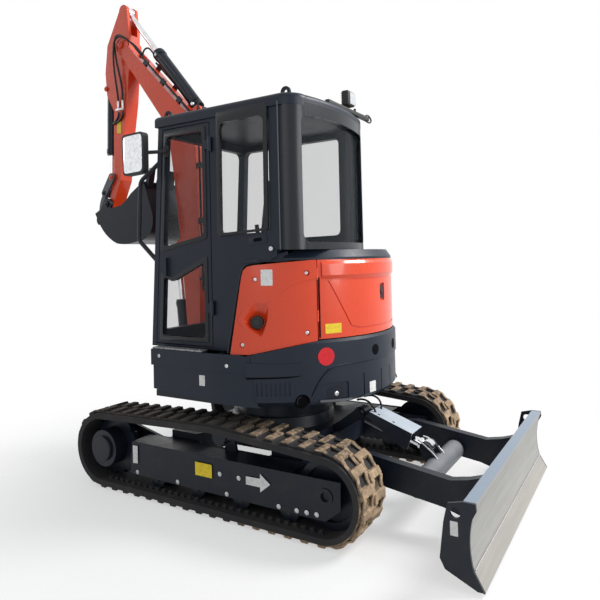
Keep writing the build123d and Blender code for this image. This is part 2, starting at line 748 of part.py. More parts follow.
with BuildPart() as side_panel:
    half_disc(panel_r, deck_front, panel_low, panel_top - panel_low)
    with BuildPart(mode=Mode.PRIVATE) as swell:
        swelled(swell_r, panel_low, panel_top - 8 - panel_low)
        slab([(-380, 1240), (-443, 1323), (-493, 1367), (-541, 1391), (-612, 1413), (-800, 1413), (-800, 1600),
              (-300, 1600)], 900, 1800, Mode.INTERSECT)
    add(swell.part)
    with Locations((0, 0, panel_low - 1)):
        Cylinder(panel_r - sheet, panel_top - sheet - panel_low + 1,
                 align=(Align.CENTER, Align.CENTER, Align.MIN), mode=Mode.SUBTRACT)
    with BuildPart(mode=Mode.PRIVATE) as pocket:
        with BuildSketch(tail_plane(fuel_turn, fuel_z, panel_r - 2)) as mouth:
            with BuildLine():
                Polyline((-100, -4), (-18, 118), (76, 118), (84, 90), (66, -20), (32, -124), (-62, -52), close=True)
            make_face()
            offset(amount=14)
        extrude(mouth.sketch, amount=-fuel_depth - 12)
    add(pocket.part)
    with BuildSketch(tail_plane(fuel_turn, fuel_z, panel_r + 12)) as rim:
        with BuildLine():
            Polyline((-100, -4), (-18, 118), (76, 118), (84, 90), (66, -20), (32, -124), (-62, -52), close=True)
        make_face()
        fillet(rim.vertices(), 6)
    with BuildSketch(tail_plane(fuel_turn, fuel_z, panel_r - fuel_depth)) as seat_of_cap:
        with Locations((0, -24)):
            Circle(40)
    loft([rim.sketch, seat_of_cap.sketch], mode=Mode.SUBTRACT)
    slab([*panel_front, (-900, panel_top + 1), (-900, 1700), (900, 1700), (900, 900)], 900, 1800, Mode.SUBTRACT)
    slab([(tail_seam_top + 300, skirt_top + seat_gap), (tail_seam_top - 20, skirt_top + seat_gap),
          (tail_seam_top - 370, skirt_top - 10 + seat_gap + 370 * tail_rise), (-900, skirt_top + 74 + seat_gap),
          (-900, 800), (tail_seam_top + 300, 800)], 900, 1800, Mode.SUBTRACT)
    block(-900, 900, -900, 500, 900, 1600, Mode.SUBTRACT)
    sector(1200, panel_seam, 260, 900, 700, Mode.SUBTRACT)
    sector(panel_r - 90, 60, 260, 900, 700, Mode.SUBTRACT)
    for turn, z in panel_bolts:
        bore(turn, z, panel_r + 20, 17, 30)
    for z in hinge_zs:
        hinge_barrel(z, knuckle_r, knuckle)
        hinge_barrel(z + knuckle, knuckle_r + 1, knuckle + 2 * seat_gap, Mode.SUBTRACT)
side_panel.part.label = "side_panel_left"
export_step(side_panel.part, "parts/side_panel_left.step")
with BuildPart() as side_panel_right:
    mirror(side_panel.part, about=Plane.XZ)
    with BuildSketch(Plane.XY.offset(panel_low)):
        with Locations((hinge_x, -hinge_y)):
            Circle(knuckle_r + 2)
    extrude(amount=panel_top - panel_low, mode=Mode.SUBTRACT)
side_panel_right.part.label = "side_panel_right"
export_step(side_panel_right.part, "parts/side_panel_right.step")

brow_turn = 141.5
shield_groove = 6.0
with BuildPart() as hood:
    sector(hood_r, panel_seam + hood_gap, 360 - panel_seam - hood_gap, hood_low, hood_high - hood_low)
    with BuildPart(mode=Mode.PRIVATE) as brow_ring:
        ring([(hood_r - 10, brow_low - 24), (hood_r, brow_low - 22), (hood_r + brow, brow_low),
              (hood_r + brow, hood_high - 26), (hood_r, hood_high - 8), (hood_r - 10, hood_high - 6)])
        sector(2 * hood_r, brow_turn, 360 - brow_turn, hood_low, 600, Mode.INTERSECT)
    add(brow_ring.part)
    with Locations((0, 0, hood_low - 1)):
        Cylinder(hood_r - sheet, 600, align=(Align.CENTER, Align.CENTER, Align.MIN), mode=Mode.SUBTRACT)
    with BuildPart(mode=Mode.PRIVATE) as shield:
        ring([(hood_r - shield_groove, hood_low), (hood_r + 30, hood_low), (hood_r + 30, hood_high),
              (hood_r - shield_groove, hood_high)])
        with BuildSketch(Plane.YZ.offset(-900)) as badge:
            with BuildLine():
                Polyline((-472, brow_low - 22), (-370, 1190), (-325, 1104), (-250, 1086), (250, 1086), (325, 1104),
                         (370, 1190), (472, brow_low - 22), close=True)
            make_face()
            fillet(badge.vertices().sort_by(Axis.Y)[:-2], 20)
            offset(amount=-9, mode=Mode.SUBTRACT)
            with Locations((0, brow_low - 10)):
                Rectangle(1200, 30, mode=Mode.SUBTRACT)
        extrude(badge.sketch, amount=600, mode=Mode.INTERSECT)
    add(shield.part, mode=Mode.SUBTRACT)
    sunk(180, 1300, hood_r + 20, [(-34, 56), (34, 56), (34, -56), (-34, -56)], 8, 32)
    for z in hinge_zs:
        hinge_barrel(z - 1, knuckle_r + 1, knuckle + 1 + seat_gap, Mode.SUBTRACT)
        hinge_barrel(z + knuckle + seat_gap, knuckle_r, knuckle)
hood.part.label = "rear_hood"
export_step(hood.part, "parts/rear_hood.step")

with BuildPart() as top_deck:
    ring([(300, panel_top + 0.5), (panel_r - 4, panel_top + 0.5), (panel_r - 4, panel_top + 14), (top_deck_r, top_deck_high),
          (300, top_deck_high)])
    sector(panel_r - sheet - 12, 140, 220, hood_high - 20, 30)
    block(-137, 900, -900, 900, 1400, 1700, Mode.SUBTRACT)
    slab([(-137, 1400), (-455, 1400), (-455, panel_top + 24), (-500, top_deck_high + 6), (-500, 1700), (-137, 1700)], 900,
         900 - cab_right + 6, Mode.SUBTRACT)
top_deck.part.label = "top_deck"
export_step(top_deck.part, "parts/top_deck.step")

with BuildPart() as right_cover:
    slab([(-130, panel_low), (deck_front - 30, panel_low), (deck_front - 40, 1180), (380, 1330), (250, 1392),
          (-130, 1400)], cab_right - 14, skirt_y + cab_right - 14)
    fillet(right_cover.edges().filter_by(Axis.X).sort_by(Axis.Z)[-2:], 30)
    block(-200, deck_front, -900, -skirt_y + 9, 900, 1500, Mode.SUBTRACT)
right_cover.part.label = "right_cover"
export_step(right_cover.part, "parts/right_cover.step")

with BuildPart() as engine:
    block(-540, -200, -300, 300, deck_z + seat_gap, 1260)
    fillet(engine.edges().filter_by(Axis.Z), 30)
engine.part.label = "engine"
export_step(engine.part, "parts/engine.step")

# Cab shell
cab_profile = [(569, cab_floor), (480, cab_roof), (-700, cab_roof), (-700, 1584), (-440, 1584), (-410, 1536), (-300, 1520),
               (-248, 1500), (-216, 1462), (-204, 1430), (-134, cab_floor)]


def cab_plan(inset, z, height, mode=Mode.ADD):
    """The cab's plan: square front, bowed rear with rounded corners."""
    left, right = cab_left - inset, cab_right + inset
    with BuildSketch(Plane.XY.offset(z)) as plan:
        with BuildLine():
            Polyline((-480 + inset / 2, right), (620 - inset, right), (620 - inset, left), (-480 + inset / 2, left))
            corner = ThreePointArc((-480 + inset / 2, left), (-556 + inset, left - 34), (-598 + inset, left - 130))
            bow = ThreePointArc(corner @ 1, (-640 + inset, (left + right) / 2), (-598 + inset, right + 130))
            ThreePointArc(bow @ 1, (-556 + inset, right + 34), (-480 + inset / 2, right))
        make_face()
    extrude(plan.sketch, amount=height, mode=mode)


door_low = 992.0
door_high = 2400.0


def door_outline(grow):
    """The door's side outline, larger all round by grow."""
    return [(door_hinge_x - grow, door_low - grow), (524 + grow, door_low - grow),
            (436 + grow, door_high + grow), (door_hinge_x - grow, door_high + grow)]


with BuildPart() as cab:
    slab(cab_profile, cab_left, cab_left - cab_right)
    cab_plan(0, cab_floor - 5, 1600, Mode.INTERSECT)
    with BuildPart(mode=Mode.PRIVATE) as room:
        slab([(569 - cab_wall, cab_floor + 20), (484 - cab_wall, cab_roof + 10), (-700, cab_roof + 10),
              (-700, 1606), (-420, 1606), (-395, 1560), (-290, 1544), (-220, 1500), (-180, 1430), (-108, cab_floor + 20)],
             cab_left, cab_left - cab_right)
        cab_plan(cab_wall, cab_floor - 5, 1600, Mode.INTERSECT)
    add(room.part, mode=Mode.SUBTRACT)
    slab(door_outline(side_gap), cab_left + 10, cab_wall + 20, Mode.SUBTRACT)
    slab([(-411, 1690), (-16, 1684), (-20, 2390), (-413, 2390)], cab_left + 10, cab_wall + 20, Mode.SUBTRACT, 40)
    slab([(-411, 1690), (-16, 1684), (-20, 2390), (-413, 2390)], cab_right + cab_wall + 10, cab_wall + 20,
         Mode.SUBTRACT, 40)
    slab([(50, 1400), (480, 1400), (430, 2380), (50, 2380)], cab_right + cab_wall + 10, cab_wall + 20,
         Mode.SUBTRACT, 40)
    with BuildSketch(Plane.YZ.offset(300)):
        with Locations(((cab_left + cab_right) / 2, 1720)):
            RectangleRounded(cab_left - cab_right - 110, 1300, 50)
    extrude(amount=400, mode=Mode.SUBTRACT)
    with BuildSketch(Plane.YZ.offset(-800)):
        with Locations(((cab_left + cab_right) / 2, 2000)):
            RectangleRounded(cab_left - cab_right - 110, 780, 60)
    extrude(amount=290, mode=Mode.SUBTRACT)
cab.part.label = "cab_frame"
export_step(cab.part, "parts/cab_frame.step")

with BuildPart() as roof:
    cab_plan(-12, cab_roof + 0.5, roof_high - cab_roof - 0.5)
    block(500, 900, -900, 900, 2400, 2600, Mode.SUBTRACT)
    fillet(roof.edges().group_by(Axis.Z)[-1], 30)
roof.part.label = "cab_roof"
export_step(roof.part, "parts/cab_roof.step")

# Fixed panes, as separate solids
with BuildPart() as panes:
    slab([(-411, 1690), (-16, 1684), (-20, 2390), (-413, 2390)], cab_left - 8, glass, corner=40)
    slab([(-411, 1690), (-16, 1684), (-20, 2390), (-413, 2390)], cab_right + 8 + glass, glass, corner=40)
    slab([(50, 1400), (480, 1400), (430, 2380), (50, 2380)], cab_right + 8 + glass, glass, corner=40)
    with BuildPart(mode=Mode.PRIVATE) as windscreen:
        slab([(541, 1060), (541 + glass, 1060), (469 + glass, 2380), (469, 2380)], cab_left - 20,
             cab_left - cab_right - 40)
        with BuildSketch(Plane.YZ.offset(300)):
            with Locations(((cab_left + cab_right) / 2, 1720)):
                RectangleRounded(cab_left - cab_right - 110 - 2 * seat_gap, 1300 - 2 * seat_gap, 50)
        extrude(amount=400, mode=Mode.INTERSECT)
    add(windscreen.part)
    with BuildPart(mode=Mode.PRIVATE) as rear:
        cab_plan(10, 1580, 820)
        cab_plan(10 + glass, 1580, 820, Mode.SUBTRACT)
        with BuildSketch(Plane.YZ.offset(-800)):
            with Locations(((cab_left + cab_right) / 2, 2000)):
                RectangleRounded(cab_left - cab_right - 110 - 2 * seat_gap, 780 - 2 * seat_gap, 60)
        extrude(amount=290, mode=Mode.INTERSECT)
    add(rear.part)
panes.part.label = "cab_glass"
export_step(panes.part, "parts/cab_glass.step")

# Door with its panes, mirror and handle
door_plate = 40.0
with BuildPart() as door:
    slab(door_outline(0), cab_left, door_plate)
    slab([(90, 1690), (452, 1622), (405, 2360), (90, 2360)], cab_left + 5, door_plate + 10, Mode.SUBTRACT, 30)
    slab([(90, 1034), (474, 1034), (450, 1440), (370, 1400), (90, 1530)], cab_left + 5, door_plate + 10,
         Mode.SUBTRACT, 30)
    slab([(410, 1436), (440, 1436), (440, 1553), (410, 1553)], cab_left + 22, 22)
    for z in (1232, 2259):
        with BuildSketch(Plane.XY.offset(z - 45)):
            with Locations((door_hinge_x - 14, cab_left + 12)):
                Circle(12)
        extrude(amount=90)
        slab([(door_hinge_x - 14, z - 30), (door_hinge_x + 40, z - 30), (door_hinge_x + 40, z + 30),
              (door_hinge_x - 14, z + 30)], cab_left + 12, 12)
door.part.label = "door_frame"
export_step(door.part, "parts/door_frame.step")

with BuildPart() as door_glass:
    slab([(90, 1690), (452, 1622), (405, 2360), (90, 2360)], cab_left - 8, glass, corner=30)
    slab([(90, 1034), (474, 1034), (450, 1440), (370, 1400), (90, 1530)], cab_left - 8, glass, corner=30)
door_glass.part.label = "door_glass"
export_step(door_glass.part, "parts/door_glass.step")

with BuildPart() as mirror_arm:
    slab([(430, 2100), (620, 2092), (627, 2362), (430, 2368)], 905, 46, corner=30)
    slab([(384, 2220), (424, 2220), (424, 2296), (384, 2296)], cab_left + 8, 8)
    tube_between((402, cab_left + 8, 2258), (510, 866, 2240), 12)
mirror_arm.part.label = "mirror"
export_step(mirror_arm.part, "parts/mirror.step")

# Handrail at the cab's front corner
with BuildPart() as handrail:
    with BuildLine():
        FilletPolyline((450, 688, 2232), (690, 688, 2089), (712, 688, 1679), (498, 688, 1497), radius=60)
    with BuildSketch(Plane(origin=(450, 688, 2232), z_dir=(240, 0, -143))):
        Circle(15)
    sweep()
    slab([(569 + seat_gap, cab_floor), (480 + seat_gap, cab_roof), (200, cab_roof), (200, cab_floor)], 900, 500,
         Mode.SUBTRACT)
handrail.part.label = "handrail"
export_step(handrail.part, "parts/handrail.step")

# Seat: pedestal, cushion and back
seat_base_top = 1370.0
with BuildPart() as pedestal:
    slab([(-30, cab_floor + 20), (210, cab_floor + 20), (230, seat_base_top), (-120, seat_base_top)], 430, 360)
pedestal.part.label = "seat_base"
export_step(pedestal.part, "parts/seat_base.step")
with BuildPart() as seat:
    slab([(-120, seat_base_top + seat_gap), (300, seat_base_top + seat_gap), (310, 1440), (280, 1490), (-130, 1480)],
         470, 440, corner=20)
    slab([(-90, 1440), (-175, 2060), (-255, 2060), (-190, 1505), (-146, 1440)], 470, 440, corner=10)
    slab([(-180, 2090), (-195, 2250), (-265, 2250), (-255, 2090)], 380, 260, corner=20)
    for y in (330, 170):
        tube_between((-210, y, 2040), (-222, y, 2110), 8)
seat.part.label = "seat"
export_step(seat.part, "parts/seat.step")
with BuildPart() as consoles:
    for y in (555, 15):
        slab([(0, cab_floor + 20 + seat_gap), (160, cab_floor + 20 + seat_gap), (180, 1500), (260, 1600), (260, 1640), (-60, 1640), (-60, 1480)], y, 70)
        tube_between((200, y - 35, 1640), (220, y - 35, 1790), 16)
    for y in (330, 240):
        tube_between((330, y, 988), (400, y, 1500), 12)
    block(200, 500, 200, 360, 900, cab_floor + 20 + seat_gap, Mode.SUBTRACT)
consoles.part.label = "controls"
export_step(consoles.part, "parts/controls.step")

# Roof lamp and beacon
with BuildPart() as lamps:
    with Locations((-480, -120, roof_high)):
        Cylinder(42, 95, align=(Align.CENTER, Align.CENTER, Align.MIN))
lamps.part.label = "beacon"
export_step(lamps.part, "parts/beacon.step")

# Swing post with the boom's foot ears, the boom cylinder's base ears and the swing cylinder's ears
foot_ear = 28.0
swing_base = (100.0, -430.0, 770.0)
swing_eye = (752.0, -272.0, 770.0)
swing_eye_half = 26.0
boom_eye_half = 32.0
with BuildPart() as post:
    with BuildSketch(Plane.XY.offset(post_low)):
        with Locations((swing_x, tool_y)):
            Circle(swing_r)
    extrude(amount=post_high - post_low)
    with Locations((swing_x, tool_y, lug_low - 10)):
        Cylinder(swing_pin_r, post_high + side_gap + lug_thick + 20 - lug_low,
                 align=(Align.CENTER, Align.CENTER, Align.MIN))
    for y in (boom_half + side_gap + foot_ear, -boom_half - side_gap):
        lug(foot, 58, (765, post_high), (940, post_low), tool_y + y, foot_ear)
        slab([(swing_x - 20, post_low), (940, post_low), foot, (765, post_high), (swing_x - 20, post_high - 10)],
             tool_y + y, foot_ear)
    slab([(swing_x, post_low), (940, post_low), (900, 740), (swing_x, 752)], tool_y + boom_half + side_gap + 4,
         2 * (boom_half + side_gap + 4))
    for y in (boom_eye_half + side_gap + ear, -boom_eye_half - side_gap):
        lug(boom_base, 40, (900, 738), (900, 640), tool_y + y, ear)
    slab([(860, 640), (915, 640), (915, 700), (860, 700)], tool_y + 62, 124)
    boss(boom_base, 28, tool_y + boom_eye_half + side_gap + ear + 8, 2 * (boom_eye_half + side_gap + ear + 8))
    boss(foot, 34, tool_y + boom_half + side_gap + foot_ear + 8, 2 * (boom_half + side_gap + foot_ear + 8))
    for z in (swing_eye[2] - swing_eye_half - side_gap - 20, swing_eye[2] + swing_eye_half + side_gap):
        layer([(swing_x - 10, tool_y - 100), (swing_eye[0] - 40, swing_eye[1]), (swing_eye[0], swing_eye[1] - 40),
               (swing_eye[0] + 40, swing_eye[1]), (swing_x + 90, tool_y - 100)], z, 20, corner=12)
    block(swing_x - 30, swing_x + 80, tool_y - 140, tool_y - boom_half - side_gap + 1, 738, 802, Mode.SUBTRACT)
post.part.label = "swing_post"
export_step(post.part, "parts/swing_post.step")

ram("boom", at(boom_base), at(boom_eye), (0, 1, 0), 52, 27, 550, 400, boom_eye_half, 44, 28)

# Boom: bent box beam, forked at both ends of its top
with BuildPart() as boom:
    slab([(foot[0] - 60, foot[1]), (788, 1700), (806, 2450), (838, 2640), (900, 2745), (1461, 3323), (1590, 3452),
          (1640, 3530), (1720, 3480), (1700, 3420), (1563, 3252), (1184, 2755), (1100, 2600), (1040, 2200),
          (985, 1700), (foot[0] + 60, foot[1])], tool_y + boom_half, 2 * boom_half)
    boss(foot, 68, tool_y + boom_half, 2 * boom_half)
    boss(boom_tip, 66, tool_y + boom_half, 2 * boom_half)
    boss(foot, 34 + pin_gap, tool_y + boom_half, 2 * boom_half, Mode.SUBTRACT)
    boss(boom_tip, 250, tool_y + arm_half + side_gap, 2 * (arm_half + side_gap), Mode.SUBTRACT)
    boss(boom_tip, 30, tool_y + boom_half + 10, 2 * boom_half + 20)
    for y in (30 + side_gap + ear, -30 - side_gap):
        lug(arm_base, 40, (820, 2600), (940, 2740), tool_y + y, ear)
    for y in (boom_eye_half + side_gap + ear, -boom_eye_half - side_gap):
        lug(boom_eye, 42, (960, 1760), (940, 1525), tool_y + y, ear)
    boss(arm_base, 25, tool_y + 30 + side_gap + ear + 6, 2 * (30 + side_gap + ear + 6))
boom.part.label = "boom"
export_step(boom.part, "parts/boom.step")

# Hydraulic pipes up the back of the boom, each pair on clamps
pipe_r = 9.0
pipe_stand = 30.0
pipe_y = 80.0
boom_back = [(789, 1250), (788, 1700), (806, 2450), (838, 2640), (900, 2745), (1461, 3323)]


def off_boom(index, share, out):
    """Point beside the boom's back edge: this share along run index, and out from the edge."""
    (x0, z0), (x1, z1) = boom_back[index], boom_back[index + 1]
    n = math.hypot(x1 - x0, z1 - z0)
    return (x0 + (x1 - x0) * share - (z1 - z0) / n * out, z0 + (z1 - z0) * share + (x1 - x0) / n * out)


pipe_route = [off_boom(0, 0.1, pipe_stand), off_boom(1, 0.985, pipe_stand), off_boom(2, 0.95, pipe_stand),
              off_boom(3, 0.97, pipe_stand), off_boom(4, 0.93, pipe_stand)]
with BuildPart() as pipes:
    for y in (pipe_y, -pipe_y):
        with BuildLine() as run:
            FilletPolyline(*[(x, tool_y + y, z) for x, z in pipe_route], radius=90)
        with BuildSketch(Plane(origin=run.line @ 0, z_dir=run.line % 0)):
            Circle(pipe_r)
        sweep(path=run.line)
    for index, share in ((0, 0.3), (1, 0.2), (1, 0.8), (4, 0.18), (4, 0.5), (4, 0.85)):
        for y in (boom_half - 3, -boom_half + 3 + 18):
            low, high = off_boom(index, share - 0.03, seat_gap), off_boom(index, share + 0.03, seat_gap)
            slab([low, high, off_boom(index, share + 0.03, pipe_stand + 16), off_boom(index, share - 0.03, pipe_stand + 16)],
                 tool_y + y, 18)
pipes.part.label = "boom_pipes"
export_step(pipes.part, "parts/boom_pipes.step")

ram("arm", at(arm_base), at(arm_eye), (0, 1, 0), 52, 25, 760, 565, 30, 44, 25)

# Arm with its top ears, bucket cylinder ears and end bosses
with BuildPart() as stick:
    slab([(1612, 3812), (1650, 3842), (1700, 3800), (1866, 3512), (1898, 3264), (1880, 3060), (1792, 2900),
          (1805, 2300), (1860, 2106), (1824, 2044), (1718, 2269), (1664, 2693), (1618, 2964),
          (1590, 3253), (1585, 3609)], tool_y + arm_half, 2 * arm_half)
    boss(boom_tip, 62, tool_y + arm_half, 2 * arm_half)
    boss(bucket_pin, 50, tool_y + arm_half, 2 * arm_half)
    boss(arm_eye, 50, tool_y + arm_half, 2 * arm_half)
    slab([(1500, 3900), (1780, 3900), (1740, 3700), (1700, 3560), (1500, 3560)], tool_y + 30 + side_gap,
         2 * (30 + side_gap), Mode.SUBTRACT)
    slab([(1830, 3190), (2000, 3240), (2000, 2800), (1780, 2860), (1812, 3060)], tool_y + 28 + side_gap,
         2 * (28 + side_gap), Mode.SUBTRACT)
    slab([(1826, 3080), (2000, 3080), (2000, 2800), (1780, 2860)], tool_y + 52, 104, Mode.SUBTRACT)
    boss(boom_tip, 30 + pin_gap, tool_y + arm_half, 2 * arm_half, Mode.SUBTRACT)
    boss(bucket_base, 24, tool_y + arm_half + 8, 2 * arm_half + 16)
    boss(bucket_pin, 27 + pin_gap, tool_y + arm_half, 2 * arm_half, Mode.SUBTRACT)
    boss(idler_pin, 24, tool_y + arm_half + 26, 2 * arm_half + 52)
stick.part.label = "arm"
export_step(stick.part, "parts/arm.step")

crank_pin = (idler_pin[0] + crank[0], idler_pin[1] + crank[1])
bucket_link = (bucket_pin[0] + crank[0], bucket_pin[1] + crank[1])
ram("bucket", at(bucket_base), at(crank_pin), (0, 1, 0), 42, 22, 600, 400, 28, 40, 24)


def link_plate(start, end, start_r, end_r, y, width):
    """Flat link between two pins with rounded ends."""
    boss(start, start_r, y, width)
    boss(end, end_r, y, width)
    dx, dz = end[0] - start[0], end[1] - start[1]
    n = math.hypot(dx, dz)
    nx, nz = -dz / n, dx / n
    slab([(start[0] + nx * start_r, start[1] + nz * start_r), (end[0] + nx * end_r, end[1] + nz * end_r),
          (end[0] - nx * end_r, end[1] - nz * end_r), (start[0] - nx * start_r, start[1] - nz * start_r)], y, width)


link_inner = arm_half + side_gap
link_width = 18.0
with BuildPart() as idlers:
    for y in (link_inner + link_width, -link_inner):
        link_plate(idler_pin, crank_pin, 38, 34, tool_y + y, link_width)
        boss(idler_pin, 24 + pin_gap, tool_y + y, link_width, Mode.SUBTRACT)
    boss(crank_pin, 22, tool_y + link_inner + link_width + 4, 26 + 4 + link_width)
    boss(crank_pin, 22, tool_y - link_inner + 26, 26 + 4 + link_width)
idlers.part.label = "idler_links"
export_step(idlers.part, "parts/idler_links.step")

cheek_inner = 28 + side_gap
tie_run = Vector(bucket_link[0] - crank_pin[0], bucket_link[1] - crank_pin[1]).normalized()
tie_out = Vector(-tie_run.Y, tie_run.X)


def tie_point(along, out):
    """Point of the bucket link's side outline: from its upper pin towards the lower, and out from the arm."""
    spot = Vector(*crank_pin) + tie_run * along + tie_out * out
    return (spot.X, spot.Y)


tie_length = math.dist(crank_pin, bucket_link)
with BuildPart() as tie:
    for y in (arm_half, -cheek_inner):
        with BuildSketch(side(tool_y + y)):
            with BuildLine():
                outer = ThreePointArc(tie_point(0, 36), tie_point(tie_length / 2, 66), tie_point(tie_length, 38))
                inner = ThreePointArc(tie_point(tie_length, -6), tie_point(tie_length / 2, 14), tie_point(0, -6))
                Line(outer @ 1, inner @ 0)
                Line(inner @ 1, outer @ 0)
            make_face()
            with Locations(crank_pin):
                Circle(37)
            with Locations(bucket_link):
                Circle(40)
        extrude(amount=arm_half - cheek_inner)
    boss(bucket_link, 40, tool_y + arm_half, 2 * arm_half)
    boss(crank_pin, 22 + pin_gap, tool_y + arm_half, 2 * arm_half, Mode.SUBTRACT)
    boss(bucket_link, 24 + pin_gap, tool_y + arm_half, 2 * arm_half, Mode.SUBTRACT)
tie.part.label = "bucket_link"
export_step(tie.part, "parts/bucket_link.step")

# Bucket: bent shell between side plates, ears on top, teeth on the lip
bucket_left = 180.0
bucket_width = 560.0
bucket_sheet = 14.0
lip = (1205.0, 2190.0)
with BuildPart() as bucket:
    with BuildSketch(side(bucket_left)) as section:
        with BuildLine():
            floor = Line(lip, (1112, 1930))
            heel = TangentArc(floor @ 1, (1290, 1702), tangent=floor % 1)
            bottom = ThreePointArc(heel @ 1, (1419, 1683), (1530, 1692))
            back = ThreePointArc(bottom @ 1, (1650, 1762), (1742, 1862))
            Polyline(back @ 1, (1800, 1960), (1742, 1988), (1584, 1995), (1472, 2013), (1411, 2051), (1350, 2104), lip)
        make_face()
    extrude(amount=bucket_width)
    with BuildSketch(side(bucket_left - bucket_sheet)) as hollow:
        with BuildLine():
            Polyline((1180, 2260), (1220, 2180), (1129, 1926))
            inner_heel = ThreePointArc((1129, 1926), (1170, 1790), (1296, 1716))
            inner_bottom = ThreePointArc(inner_heel @ 1, (1419, 1698), (1524, 1706))
            inner_back = ThreePointArc(inner_bottom @ 1, (1640, 1773), (1730, 1870))
            Polyline(inner_back @ 1, (1776, 1950), (1776, 2040), (1400, 2300), (1180, 2260))
        make_face()
    extrude(amount=bucket_width - 2 * bucket_sheet, mode=Mode.SUBTRACT)
    for y in (link_inner + 22, -link_inner):
        slab([(1700, 1820), (1742, 1862), (1800, 1960), (1770, 1975), (1830, 2030), (1870, 2110), (1925, 2060),
              (bucket_link[0] + 46, bucket_link[1] + 20), (bucket_link[0] + 30, bucket_link[1] - 44),
              (bucket_link[0] - 40, bucket_link[1] - 50)], tool_y + y, 22)
        boss(bucket_pin, 54, tool_y + y, 22)
        boss(bucket_link, 48, tool_y + y, 22)
    boss(bucket_pin, 27, tool_y + link_inner + 30, 2 * (link_inner + 30))
    boss(bucket_link, 24, tool_y + link_inner + 30, 2 * (link_inner + 30))
    for i in range(5):
        y = bucket_left - 20 - i * (bucket_width - 40 - 60) / 4
        slab([(lip[0] + 14, lip[1] - 40), (lip[0] - 30, lip[1] - 50), (1142, 2290), (1150, 2296)], y, 60)
bucket.part.label = "bucket"
export_step(bucket.part, "parts/bucket.step")

# Swing cylinder, lying in the slew frame on the right
ram("swing", swing_base, swing_eye, (0, 0, 1), 42, 22, 470, 210, swing_eye_half, 38, 20)
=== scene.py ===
"""Dresses the mini excavator's CAD model for its picture: finishes, hoses, pads, trim, floor and camera."""

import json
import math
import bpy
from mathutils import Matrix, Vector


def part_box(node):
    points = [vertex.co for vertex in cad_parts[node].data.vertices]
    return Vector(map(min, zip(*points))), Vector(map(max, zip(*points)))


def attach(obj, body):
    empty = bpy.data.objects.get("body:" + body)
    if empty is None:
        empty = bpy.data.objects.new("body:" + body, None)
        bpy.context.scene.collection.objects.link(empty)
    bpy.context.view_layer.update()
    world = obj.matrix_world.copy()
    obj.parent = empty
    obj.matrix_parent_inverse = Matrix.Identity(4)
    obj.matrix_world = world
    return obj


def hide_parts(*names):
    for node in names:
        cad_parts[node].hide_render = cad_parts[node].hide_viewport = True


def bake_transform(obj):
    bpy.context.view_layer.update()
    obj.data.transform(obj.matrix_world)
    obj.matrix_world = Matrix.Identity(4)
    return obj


bl_info = {
    "name": "Mini excavator dressing",
    "version": (1, 0, 0),
    "blender": (4, 5, 0),
    "location": "3D View > Sidebar > Excavator",
    "description": "Finishes, hoses, seat pads, trim and stage of a mini excavator",
    "category": "Object",
}

import bmesh
import bpy
from bpy.props import FloatProperty, FloatVectorProperty, IntProperty, PointerProperty
from bpy.types import Operator, Panel, PropertyGroup
from mathutils import Matrix, Vector

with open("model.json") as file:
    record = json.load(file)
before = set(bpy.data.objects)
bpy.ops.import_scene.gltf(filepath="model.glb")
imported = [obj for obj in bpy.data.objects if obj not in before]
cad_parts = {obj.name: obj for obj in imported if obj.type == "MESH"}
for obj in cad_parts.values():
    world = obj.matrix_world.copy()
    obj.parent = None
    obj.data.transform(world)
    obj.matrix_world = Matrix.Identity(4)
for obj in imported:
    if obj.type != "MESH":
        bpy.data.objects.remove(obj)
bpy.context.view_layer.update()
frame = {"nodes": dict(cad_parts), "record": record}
nodes = frame["nodes"]

# Faces and radii of the CAD model that the trim lies on, and the boom's middle plane
CAB_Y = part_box("cab_frame")[1].y
SKIRT_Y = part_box("skirt_left")[1].y
BLADE_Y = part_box("blade")[1].y
FRAME_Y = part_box("track_frame_left")[1].y
TAIL_R = -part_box("counterweight")[0].x
PANEL_R = TAIL_R - 0.015
HOOD_R = TAIL_R - 0.019
ARCH_R = TAIL_R - 0.007
BOOM_Y = -0.100

# Radius and centres of the tracks' ends, and the hump of the top run over the carrier roller
TRACK_END_R = 0.262
IDLER_X = -0.784
DRIVE_X = 0.932
CARRIER_X = -0.03
CARRIER_SPAN = 0.8
CARRIER_RISE = 0.045

# Area of each triangle of a lug's top face, and how far a triangle may be off it
LUG_AREA = 0.00258
LUG_AREA_SLACK = 0.00012

# Thickness of a label, of a printed border, and the small step that keeps a sheet off its face
LABEL = 0.0014
BORDER = 0.014
OFF_FACE = 0.0012

# How far a pad's cloth may swell from its block
MOST_SWELL = 0.010

# Gloss of dark paint and rubber, on the shader's specular level
LOW_GLOSS = 0.25


class Wire:
    """A shader socket that adds Math nodes where numbers or other sockets are worked with it."""

    def __init__(self, finish, socket):
        self.finish = finish
        self.socket = socket

    def math(self, operation, *others):
        return self.finish.node("ShaderNodeMath", {"operation": operation}, [self, *others])

    def __add__(self, other):
        return self.math("ADD", other)

    def __radd__(self, other):
        return self.math("ADD", other)

    def __sub__(self, other):
        return self.math("SUBTRACT", other)

    def __rsub__(self, other):
        return self.finish.node("ShaderNodeMath", {"operation": "SUBTRACT"}, [other, self])

    def __mul__(self, other):
        return self.math("MULTIPLY", other)

    def __rmul__(self, other):
        return self.math("MULTIPLY", other)

    def __truediv__(self, other):
        return self.math("DIVIDE", other)

    def __abs__(self):
        return self.math("ABSOLUTE")

    def above(self, low, high):
        """0 under low, 1 over high, and a smooth ramp between."""
        reach = {"Value": self, "From Min": low, "From Max": high}
        return self.finish.node("ShaderNodeMapRange", {"interpolation_type": "SMOOTHSTEP"}, reach)

    def below(self, low, high):
        return 1 - self.above(low, high)


